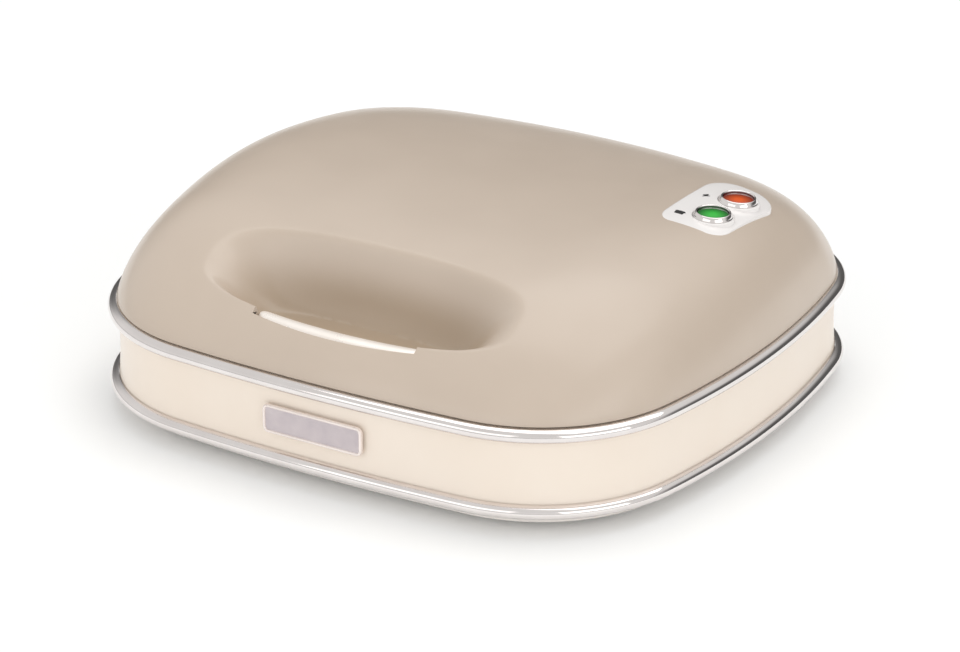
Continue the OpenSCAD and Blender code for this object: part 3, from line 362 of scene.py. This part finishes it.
# %% Finish every carried-over piece
by_slot = {"taupe_shell": taupe, "cream_shell": cream, "chrome_trim": chrome, "steel": steel,
           "nonstick": nonstick, "dark_frame": dark_frame, "panel_white": panel_white,
           "red_lens": chrome, "green_lens": chrome, "lamp_glass": insulator, "insulator": insulator,
           "rubber": rubber, "lead_jacket": lead_jacket}
slot_of = {s["node"]: s["material_slot"] for s in frame["record"]["subparts"]}
for node, piece in frame["nodes"].items():
    piece.data.materials.clear()
    piece.data.materials.append(by_slot[slot_of[node]])
print("finished", len(frame["nodes"]), "pieces")

# %% [markdown]
# ## The dome of the lid
# The lid rises in one breath from its edge to its crown. A subdivided cage would make it soft too,
# but its height would only be known after the fact, and the lamp panel and the lever need it. So
# the dome is a rule. `s` runs from 0 at the crown to 1 at the edge: near the edge the contours
# follow the outline, and towards the crown they turn oval. The sides stand up steeply, while the
# front slopes down to the finger recess.

# %% Dome
lid_inset, lid_z, crown_h, lid_wall = 3.5, 41.3, 37.0, 2.2


def ease(a, b, x):
    u = max(0.0, min(1.0, (x - a) / (b - a)))
    return u * u * (3 - 2 * u)


def mix(a, b, w):
    return a + (b - a) * w


def dome_r(s, t, inset):
    a = math.radians(t)
    b = (front_reach if math.sin(a) < 0 else rear_reach) - inset
    oval = 1 / math.hypot(math.cos(a) / (half_w - inset), math.sin(a) / b)
    return s * mix(oval, rim_r(t, inset), s ** 2.18)


def dome_z(s, t, y, rise=crown_h):
    a = math.radians(t)
    g = ease(25, 65, math.degrees(math.atan2(-math.sin(a), abs(math.cos(a))))) if math.sin(a) < 0 else 0
    up = max(0.0, 1 - s ** mix(9.7, 6.0, g)) ** mix(0.762, 0.825, g)
    return lid_z + rise * up - (0.009 * y + 0.001 * y * y) * (1 - s ** 8)


def dome_share(x, y):
    """How far out a point of the plan lies, found by halving."""
    low, high, t, r = 0.0, 1.1, math.degrees(math.atan2(y, x)), math.hypot(x, y)
    for _ in range(26):
        half = (low + high) / 2
        low, high = (low, half) if dome_r(half, t, lid_inset) > r else (half, high)
    return (low + high) / 2, t


def lid_height(x, y):
    s, t = dome_share(x, y)
    return dome_z(s, t, y)


def lid_normal(x, y):
    dx = lid_height(x + 1, y) - lid_height(x - 1, y)
    dy = lid_height(x, y + 1) - lid_height(x, y - 1)
    return Vector((-dx, -dy, 2)).normalized()


print("crown", round(lid_height(0, 0), 1), "mm")

# %% [markdown]
# The finger recess is pressed into the front of the dome. Its back and ends roll in softly, and
# its front is a steep wall that holds the latch lever. It could be a boolean with a soft ball, but
# that leaves a hard rim. One measure does it better: 0 in the middle of the recess and 1 on its
# rim, with a harder edge on the lever's side. Rows of the shell stand closer together there.

# %% Finger recess
recess_floor, recess_half, recess_y, ahead_of, behind = 46.6, 64.5, 84.0, 16.4, 22.0
lever_half = 33.0


def recess_depth(x, y):
    ahead = -recess_y - y
    reach_out = ahead_of - 0.001 * x * x if ahead > 0 else behind
    across, along = (abs(x) / recess_half) ** 3, (abs(ahead) / reach_out) ** 3
    steep = along / (across + along) if ahead > 0 else 0
    start = mix(0.42, 0.56, across / (across + along + 1e-9))
    return 1 - ease(mix(start, 0.80, steep), 1, (across + along) ** (1 / 3))


def lid_point(s, t):
    a, r = math.radians(t), dome_r(s, t, lid_inset)
    x, y = r * math.cos(a), r * math.sin(a)
    z = dome_z(s, t, y)
    deep = recess_depth(x, y)
    return (x, y + shift_y, z + (min(z, recess_floor) - z) * deep)


shares = [1, 0.9985, 0.995, 0.99, 0.984, 0.977, 0.969, 0.96, 0.95, 0.94, 0.93, 0.92, 0.91, 0.902]
shares += [0.896 - 0.0035 * i for i in range(14)] + [0.846 - 0.0085 * i for i in range(44)]
shares += [0.46 - 0.03 * i for i in range(15)] + [0.02]
lid_shell = stacked("lid_shell", 360, len(shares), lambda row, a: lid_point(shares[row], crowd(a)),
                    poles=(len(shares) - 1,))
modify(lid_shell, "SOLIDIFY", thickness=lid_wall * MM, offset=-1, use_rim=True)
for v in lid_shell.data.vertices:
    v.co.z = max(v.co.z, lid_z * MM)

# %% [markdown]
# The lever's slot and the two openings for the hinge arms are cut right through the shell, as
# they are in the moulding. Each cutter is a plain solid that is thrown away afterwards. The
# lever swings, so its slot is cut with the lever at rest, half turned and fully turned.

# %% Cut the shell
lever_bow, lever_y, lever_t, lever_top = 200.0, 98.8, 2.4, lid_z + 13.5
lip_reach, lip_h = 4.0, 2.4
slot_gap, lip_gap, below = 0.6, 0.5, lid_z - 2
hinge_x, arm_half = 36.0, 5.4


def box_piece(name, low, high):
    bpy.ops.object.select_all(action="DESELECT")
    bpy.ops.mesh.primitive_cube_add(size=1)
    piece = bpy.context.object
    piece.name = piece.data.name = name
    for v in piece.data.vertices:
        v.co = Vector([(low if v.co[i] < 0 else high)[i] for i in range(3)]) * MM
    face_outwards(piece)
    return piece


def copied(node, name):
    """A copy of an engineering piece with its doubled points joined."""
    piece = frame["nodes"][node].copy()
    piece.data = piece.data.copy()
    piece.name = piece.data.name = name
    for key in list(piece.keys()):
        del piece[key]
    piece.parent = None
    bpy.context.scene.collection.objects.link(piece)
    edit(piece)
    bpy.ops.mesh.select_all(action="SELECT")
    bpy.ops.mesh.remove_doubles(threshold=1e-6)
    leave()
    return piece


def bowed_plate(name, grow, z0, z1, forward=0.0, steps=32):
    """A flat bar that is cut across and then bowed to the lever's radius."""
    front = -lever_y - forward - grow
    half, rear = lever_half + grow, -lever_y + lever_t + grow
    piece = box_piece(name, (-half, front, z0), (half, rear, z1))
    pick(piece, lambda p: abs(p.x) < 1, "EDGE")
    bpy.ops.mesh.subdivide(number_cuts=steps)
    leave()
    for v in piece.data.vertices:
        x = v.co.x / MM
        v.co.y += (lever_bow - math.sqrt(lever_bow ** 2 - x * x)) * MM + shift_y * MM
    return piece


def cut(piece, cutter):
    modify(piece, "BOOLEAN", object=cutter, operation="DIFFERENCE", solver="MANIFOLD")
    bpy.data.objects.remove(cutter)


pivot = Vector((0, -101.2 + shift_y, lid_z + 7)) * MM
for degrees in (0, 5, 10):
    turn = Matrix.Rotation(math.radians(-degrees), 4, "X")
    swing = Matrix.Translation(pivot) @ turn @ Matrix.Translation(-pivot)
    for cutter in (bowed_plate("slot_cutter", slot_gap, below, lever_top + slot_gap),
                   bowed_plate("lip_cutter", lip_gap, lever_top - lip_h - 0.4, lever_top + 5, lip_reach)):
        for v in cutter.data.vertices:
            v.co = swing @ v.co
        cut(lid_shell, cutter)
for side in (-1, 1):
    cut(lid_shell, box_piece("arm_cutter", (side * hinge_x - arm_half, 88 + shift_y, below),
                             (side * hinge_x + arm_half, 115 + shift_y, 48.5)))
smooth(lid_shell, 30)
place_on(lid_shell, "lid", taupe, "taupe_shell", "lid_cover")
print("lid shell", len(lid_shell.data.polygons), "faces")

# %% [markdown]
# ## Trim rings, band and pan
# Two bright rings stand out from a cream band that is drawn in a little between them, and a
# shallow pan closes the bottom. All four follow the outline, each with its own cross-section. A
# curve with a bevel profile would twist at the corners, so the section is carried round in rows.
# The band has windows for the hinge brackets and a fine seam at each end of its rear panel.

# %% Rings, band and pan
ring_h, ring_proud, lower_ring_z, upper_ring_z = 5.2, 3.1, 9.6, 38.2


def belt(name, profile, sides=360, close=True):
    """A cross-section of (inset, height) pairs carried round the outline."""
    return stacked(name, sides, len(profile), lambda row, a: on_rim(a, *profile[row]), close)


for name, z, node in (("upper_ring_polished", upper_ring_z, "upper_trim_ring"),
                      ("lower_ring_polished", lower_ring_z, "lower_trim_ring")):
    profile = [(ring_proud * (1 - math.cos(math.radians(a))), z + ring_h / 2 * math.sin(math.radians(a)))
               for a in range(-90, 91, 9)]
    ring = place_on(belt(name, profile), "base", chrome, "chrome_trim", node)
    smooth(ring, 60)

band_inset, band_wall = 3.2, 2.4
band_low, band_high = 9.6, 40.4
outer = [(band_inset + 0.9 * math.sin(math.pi * i / 16), mix(band_low, band_high, i / 16)) for i in range(17)]
inner = [(band_inset + band_wall, band_high), (band_inset + band_wall, band_low)]
band = belt("band_shell", outer + inner)
bracket_half, seam_x, seam_half = 10.7, 54.5, 0.1
rear_wall = (90 + shift_y, 108 + shift_y)
for side in (-1, 1):
    cut(band, box_piece("bracket_cutter", (side * hinge_x - bracket_half, rear_wall[0], 25.8),
                        (side * hinge_x + bracket_half, rear_wall[1], 35.4)))
for side in (-1, 1):
    cut(band, box_piece("seam_cutter", (side * seam_x - seam_half, rear_wall[0], band_low - 1),
                        (side * seam_x + seam_half, rear_wall[1], band_high + 1)))
smooth(band, 30)
place_on(band, "base", cream, "cream_shell", "base_band", "base_rear_panel")

pan_outer = [(24, 2.8), (12.5, 2.8), (10.5, 2.85), (9, 3.1), (7.6, 3.55), (6.4, 4.15), (5.4, 4.9), (4.7, 5.7),
             (4.2, 6.6), (3.8, 7.8), (3.5, 9.5)]
pan_inner = [(5.5, 9.5), (6.2, 6.8), (9.6, 5.1), (12.5, 4.8), (24, 4.8)]
pan_rows = pan_outer + pan_inner
pan = stacked("pan_shell", 360, len(pan_rows), lambda row, a: on_rim(a, *pan_rows[row]),
              caps=(0, len(pan_rows) - 1))
place_on(pan, "base", pan_cream, "cream_shell", "base_pan")

# %% [markdown]
# ## The latch lever
# A bowed bar of bright metal stands in the recess's front wall, and only its top shows: a lip
# that reaches forward over the front bar and rolls down to its edge. One cross-section is
# carried along the bow, and the lip is drawn in round both ends. The hook and the knuckles
# below it come from a copy of the engineering piece, joined up first.

# %% Lever
front_drop, rear_drop = 1.92, 0.72
crest = [(lip_reach * (1 - i / 10), -front_drop * (1 - i / 10) ** 2.2) for i in range(10)]
crest += [(-lever_t * i / 5, -rear_drop * (i / 5) ** 2.5) for i in range(6)]
foot = lid_z + 3.9 - lever_top
section = [(0, foot), (0, -lip_h), (0.4, -lip_h), (3.7, -lip_h), (3.93, -2.32), (4, -2.12)] + crest
section += [(-lever_t, -1.2), (-lever_t, foot)]
bow_half = math.degrees(math.asin(lever_half / lever_bow))
lever_rows, round_len, end_drop = 56, 3, 0.5


def lever_point(row, angle):
    out, z = section[round((angle % 360) * len(section) / 360) % len(section)]
    turn = bow_half * math.sin(math.pi * (row / (lever_rows - 1) - 0.5))
    x = abs(lever_bow * math.sin(math.radians(turn)))
    late = max(0.0, (x - lever_half + round_len) / round_len)
    round_end = math.sqrt(max(0.0, 1 - late * late))
    out = out * round_end if out > 0 else out
    z -= end_drop * (1 - round_end) if z > -1.5 else 0
    r, a = lever_bow + out, math.radians(turn - 90)
    return (r * math.cos(a), r * math.sin(a) + lever_bow - lever_y + shift_y, lever_top + z)


lever = stacked("lever_polished", len(section), lever_rows, lever_point, caps=(0, lever_rows - 1))
lower_part = copied("latch_lever", "lever_lower_part")
cut(lower_part, box_piece("top_cutter", (-40, -110 + shift_y, lever_top - 4),
                          (40, -80 + shift_y, lever_top + 2)))
modify(lever, "BOOLEAN", object=lower_part, operation="UNION", solver="MANIFOLD")
bpy.data.objects.remove(lower_part)
smooth(lever, 40)
place_on(lever, "latch", bright, "chrome_trim", "latch_lever")

# %% [markdown]
# ## The lamp panel
# A white panel with soft corners is let into the dome and stands half a millimetre proud. Each
# lamp has a low collar moulded on the panel, a bright cone on the collar and a lens in the cone.
# The lamps stand almost upright, because they are pushed in from above.

# %% Lamp panel
panel_x, panel_y, panel_w, panel_d, panel_r = 83.0, 25.0, 26.0, 50.0, 10.0
lamps = {"power": (panel_x + 3.5, panel_y + 9.6), "ready": (panel_x + 3.5, panel_y - 9.6)}
collar_h = 0.3


def rounded(angle, w, d, r):
    """A point of a rounded rectangle: half of the points of each quarter are on its corner."""
    f, quarter = (angle % 90) / 90, int(angle // 90) % 4
    if quarter % 2:
        f = 1 - f
    hx, hy, a = w / 2 - r, d / 2 - r, math.radians(max(0, min(90, (f - 0.25) * 180)))
    x = hx * min(1, (1 - f) * 4) + r * math.cos(a)
    y = hy * min(1, f * 4) + r * math.sin(a)
    if f > 0.75:
        x = hx * (1 - f) * 4
    if f < 0.25:
        y = hy * f * 4
    return x * (1 if quarter in (0, 3) else -1), y * (1 if quarter < 2 else -1)


def panel_z(x, y):
    return lid_height(x, y) + 0.5 + 0.04 * (y - panel_y + 10)


panel_rows = [(1, 3.4), (1, 0.55), (0.998, 0.32), (0.99, 0.12), (0.975, 0.03), (0.955, 0), (0.88, 0),
              (0.78, 0), (0.66, 0), (0.54, 0), (0.42, 0), (0.3, 0), (0.18, 0), (0.06, 0)]


def panel_point(row, angle):
    k, drop = panel_rows[row]
    x, y = rounded(angle % 360, panel_w, panel_d, panel_r)
    x, y = panel_x + k * x, panel_y + k * y
    return (x, y + shift_y, panel_z(x, y) - drop)


def lamp_frame(spot):
    """The middle of a collar's top, and the turn that leans an upright piece to the lamp's axis."""
    n = lid_normal(*spot)
    axis = Vector((0.3 * n.x, 0.3 * n.y, 1)).normalized()
    middle = Vector((spot[0], spot[1] + shift_y, panel_z(*spot) + collar_h))
    return middle, axis.to_track_quat("Z", "Y").to_matrix()


def turned(name, spot, profile, sides=96, close=True, poles=()):
    """A turned piece on a lamp's axis, from (radius, height) pairs."""
    middle, turn = lamp_frame(spot)

    def place(row, angle):
        r, a = profile[row][0], math.radians(angle)
        return middle + turn @ Vector((r * math.cos(a), r * math.sin(a), profile[row][1]))
    return stacked(name, sides, len(profile), place, close, poles)


panel = stacked("lamp_panel_face", 192, len(panel_rows), panel_point, caps=(0,), poles=(len(panel_rows) - 1,))
for name, spot in lamps.items():
    seat = [(0.01, -6), (6.7, -6), (6.7, 0), (7.6, 0), (7.7, 3), (0.01, 3)]
    cut(panel, turned("seat_cutter", spot, seat, close=False, poles=(0, 5)))
smooth(panel, 40)
place_on(panel, "lid", panel_white, "panel_white", "lamp_panel")

# %% [markdown]
# Bezel and lens are both turned round the lamp's axis from a profile, as they are on a lathe or in
# a round mould. A ready-made torus would give the bezel one round section, while the real one has a
# flat foot and a rolled lip. The lens is sunk a little in the cone. Its colour carries painted light:
# a painted shade towards its wall, standing in for the wall's shadow, and a painted glow in the middle.

# %% Lamps
collar_profile = [(6.7, -3), (7.9, -3), (7.9, -0.3), (7.82, -0.1), (7.65, 0), (6.7, 0)]
bezel_profile = [(5.8, -3), (6.58, -3), (6.58, 0.05), (7.2, 0.05), (7.25, 0.14), (7.2, 0.24), (7.08, 0.34),
                 (7.02, 0.46), (6.98, 0.62), (6.86, 0.92), (6.7, 1.2), (6.52, 1.5), (6.4, 1.68), (6.26, 1.78),
                 (6.1, 1.8), (5.94, 1.7), (5.8, 1.52)]
lens_profile = [(0.01, -3), (5.7, -3), (5.7, 0.86), (5.62, 0.98), (5.4, 1.07), (4.8, 1.13), (3.9, 1.2),
                (2.8, 1.26), (1.5, 1.3), (0.5, 1.32), (0.01, 1.32)]


def glow_and_shade_lens_finish(name, middle, edge, spot):
    """Tinted plastic with painted light: a painted glow in the middle and a painted shade towards its wall.
    """
    mat = finish(name, middle, rough=(0.10, 0.16), coat=0.3, coat_rough=0.05, Specular_IOR_Level=0.3)
    nodes, links = mat.node_tree.nodes, mat.node_tree.links
    mapping = nodes.new("ShaderNodeMapping")
    mapping.vector_type = "TEXTURE"
    centre, turn = lamp_frame(spot)
    # The painted glow is centred a little off the lens's middle, towards the front.
    mapping.inputs["Location"].default_value = (centre + Vector((0.7, -1.3, 1.2))) * MM
    mapping.inputs["Scale"].default_value = (7.6 * MM,) * 3
    ball = nodes.new("ShaderNodeTexGradient")
    ball.gradient_type = "SPHERICAL"
    links.new(nodes["Texture Coordinate"].outputs["Object"], mapping.inputs["Vector"])
    links.new(mapping.outputs["Vector"], ball.inputs["Vector"])
    ramp = nodes.new("ShaderNodeValToRGB")
    ramp.color_ramp.elements[0].position, ramp.color_ramp.elements[1].position = 0.2, 0.85
    ramp.color_ramp.elements[0].color = (*linear(edge), 1)
    ramp.color_ramp.elements[1].color = (*linear(middle), 1)
    links.new(ball.outputs["Fac"], ramp.inputs["Fac"])
    links.new(ramp.outputs["Color"], nodes["Principled BSDF"].inputs["Base Color"])
    return mat


# For each lamp: the colour of the painted glow in the middle, then the painted shade at the wall.
lens_glow_and_shade = {"power": ((230, 92, 24), (90, 14, 8)), "ready": ((54, 190, 64), (6, 70, 22))}
for name, spot in lamps.items():
    collar = turned(name + "_collar", spot, collar_profile)
    place_on(collar, "lid", panel_white, "panel_white")
    bezel = turned(name + "_bezel_polished", spot, bezel_profile)
    smooth(bezel, 50)
    place_on(bezel, "lid", chrome, "chrome_trim", name + "_lamp_bezel")
    lens = turned(name + "_lens_tinted", spot, lens_profile, close=False, poles=(0, len(lens_profile) - 1))
    smooth(lens, 40)
    tint = "red_lens" if name == "power" else "green_lens"
    place_on(lens, "lid", glow_and_shade_lens_finish(tint, *lens_glow_and_shade[name], spot), tint, name + "_lamp_lens")

# %% [markdown]
# Two small printed marks tell the lamps apart: a bolt for power and a slice for ready. Each is a
# flat outline laid on the panel, as thick as a film of ink, because a real shape keeps its edge
# at every distance.

# %% Printed marks
bolt = [(0.2, 1.5), (-1.2, -0.3), (-0.2, -0.2), (-0.7, -1.5), (1.2, 0.3), (0.2, 0.2)]
slice_mark = [(-1.5, -0.9), (1.5, -0.9), (1.5, 0.3), (1.9, 0.7), (1.5, 1.2), (0, 1.4), (-1.5, 1.2),
              (-1.9, 0.7), (-1.5, 0.3)]
mark_size = 1.1
for name, outline, at in (("power_mark", bolt, (75.6, 30.6)), ("ready_mark", slice_mark, (75.6, 10.4))):
    step = 360 / len(outline)

    def mark_point(row, angle):
        x, y = outline[int((angle % 360) / step) % len(outline)]
        x, y = at[0] + mark_size * x, at[1] + mark_size * y
        return (x, y + shift_y, panel_z(x, y) - 0.05 + 0.22 * row)
    mark = stacked(name, len(outline), 2, mark_point, caps=(0, 1))
    place_on(mark, "lid", ink, "panel_white")

# %% [markdown]
# ## The badge
# A small plate with a bright raised border sits on the front of the band. Its field is left bare.
# The border is rolled over in rows, since a plain bevel would be equally round inside and outside.

# %% Badge
badge_w, badge_h = 41.0, 10.8
badge_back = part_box("badge_plate")[1].y / MM
badge_rows = [(0, 0), (0, 0.9), (0.1, 1.15), (0.3, 1.35), (0.55, 1.4), (0.8, 1.35), (1.0, 1.15), (1.1, 0.85)]


def badge_point(row, angle):
    inset, out = badge_rows[row]
    x, z = rounded(angle % 360, badge_w - 2 * inset, badge_h - 2 * inset, 2.2 - min(inset, 1.2))
    return (x, badge_back - out, 24 + z)


badge = stacked("badge_border", 128, len(badge_rows), badge_point, caps=(0, len(badge_rows) - 1))
place_on(badge, "base", badge_rim, "chrome_trim", "badge_plate")
badge.data.materials.append(badge_field)
for face in badge.data.polygons:
    if face.area > 100 * MM * MM and face.center.y < (badge_back - 0.5) * MM:
        face.material_index = 1
print("badge stands", badge_rows[4][1], "mm off the band at", round(badge_back, 2))

# %% [markdown]
# ## Plates and frames
# The cooking plates and the frames round them are cast and pressed pieces, so no edge of theirs
# is sharp. The engineering pieces have the right shape already, so they aren't built again: a copy
# of each is joined up and given a small bevel, which catches the light.

# %% Soften cast and pressed pieces
def softened(node, width, material, slot, body, segments=3):
    piece = copied(node, node + "_softened")
    edit(piece)
    bpy.ops.mesh.select_all(action="SELECT")
    bpy.ops.mesh.dissolve_limited(angle_limit=math.radians(0.5))
    leave()
    modify(piece, "BEVEL", width=width * MM, segments=segments, limit_method="ANGLE",
           angle_limit=math.radians(40), harden_normals=False)
    smooth(piece, 40)
    piece.data.materials.clear()
    print(piece.name, len(piece.data.polygons), "faces")
    return place_on(piece, body, material, slot, node)


for node, body in (("lower_plate", "base"), ("upper_plate", "lid")):
    softened(node, 0.7, nonstick, "nonstick", body)
for node, body in (("base_frame", "base"), ("lid_frame", "lid"),
                   ("hinge_arm_left", "lid"), ("hinge_arm_right", "lid"),
                   ("hinge_bracket_left", "base"), ("hinge_bracket_right", "base")):
    softened(node, 0.3, dark_frame, "dark_frame", body, 2)

# %% [markdown]
# ## Studio
# A pale floor runs to the horizon, and a soft sky lights everything. The sky is darker just
# above the horizon, which draws the fine dark line along the polished rings.

# %% Floor
bpy.context.scene.view_settings.view_transform = "Standard"
bpy.ops.object.select_all(action="DESELECT")
bpy.ops.mesh.primitive_plane_add(size=30)
floor = bpy.context.object
floor.name = "studio_floor"
paper = finish("floor_paper", (253, 254, 254), (252, 253, 253), rough=(0.9, 0.95), drift=2,
               Emission_Color=(0.94, 0.98, 1.0, 1), Emission_Strength=0.03)
floor.data.materials.append(paper)
print("floor", [round(v, 1) for v in floor.dimensions], "m")

# %% [markdown]
# The sky is a ramp over the height of each direction. Low down behind the object it is dimmed,
# so the far edge of the glossy lid doesn't light up as a white line.

# %% Sky
world = bpy.data.worlds.new("soft_sky")
bpy.context.scene.world = world
world.use_nodes = True
sky, wires = world.node_tree.nodes, world.node_tree.links
where = sky.new("ShaderNodeTexCoord")
split = sky.new("ShaderNodeSeparateXYZ")
wires.new(where.outputs["Generated"], split.inputs["Vector"])
bands = sky.new("ShaderNodeValToRGB")
stops = [(0.0, 0.9), (0.01, 0.22), (0.03, 0.22), (0.06, 0.68), (0.35, 0.72), (0.62, 0.68), (1.0, 0.70)]
while len(bands.color_ramp.elements) < len(stops):
    bands.color_ramp.elements.new(0.5)
for element, (at, level) in zip(bands.color_ramp.elements, stops):
    element.position, element.color = at, (level, level * 0.995, level * 0.985, 1)
wires.new(split.outputs["Z"], bands.inputs["Fac"])


def ramp_of(socket, low, high, to_low, to_high):
    node = sky.new("ShaderNodeMapRange")
    node.interpolation_type = "SMOOTHSTEP"
    for name, value in zip(("From Min", "From Max", "To Min", "To Max"), (low, high, to_low, to_high)):
        node.inputs[name].default_value = value
    wires.new(socket, node.inputs["Value"])
    return node.outputs["Result"]


def product(one, two):
    node = sky.new("ShaderNodeMath")
    node.operation = "MULTIPLY"
    wires.new(one, node.inputs[0])
    wires.new(two, node.inputs[1])
    return node.outputs["Value"]


behind_it = product(ramp_of(split.outputs["Y"], 0.0, 0.8, 0, 1), ramp_of(split.outputs["Z"], 0.25, 0.7, 1, 0))
sky_level = 1.12
dim = ramp_of(behind_it, 0, 1, 1, 0.4)
wires.new(product(dim, ramp_of(dim, 0, 1, 0, sky_level)), sky["Background"].inputs["Strength"])
wires.new(bands.outputs["Color"], sky["Background"].inputs["Color"])
print("sky has", len(bands.color_ramp.elements), "stops")

# %% [markdown]
# Three large softboxes do the rest: a wide one overhead and a little behind, which draws the soft
# shadow towards the viewer, and two weak ones that fill the front and the right.

# %% Softboxes
def softbox(name, at, size, watts):
    light = bpy.data.objects.new(name, bpy.data.lights.new(name, "AREA"))
    light.data.shape, light.data.size, light.data.size_y = "RECTANGLE", *size
    light.data.energy = watts
    light.location = at
    light.rotation_euler = (Vector(at) - Vector((0, 0, 0.04))).to_track_quat("Z", "Y").to_euler()
    bpy.context.scene.collection.objects.link(light)


softbox("key", (-0.3, -2.0, 1.0), (1.8, 1.0), 3.5)
softbox("fill", (1.8, -0.8, 0.8), (1.6, 1.0), 4.5)
softbox("top", (0.1, 0.5, 1.95), (2.4, 1.8), 15)
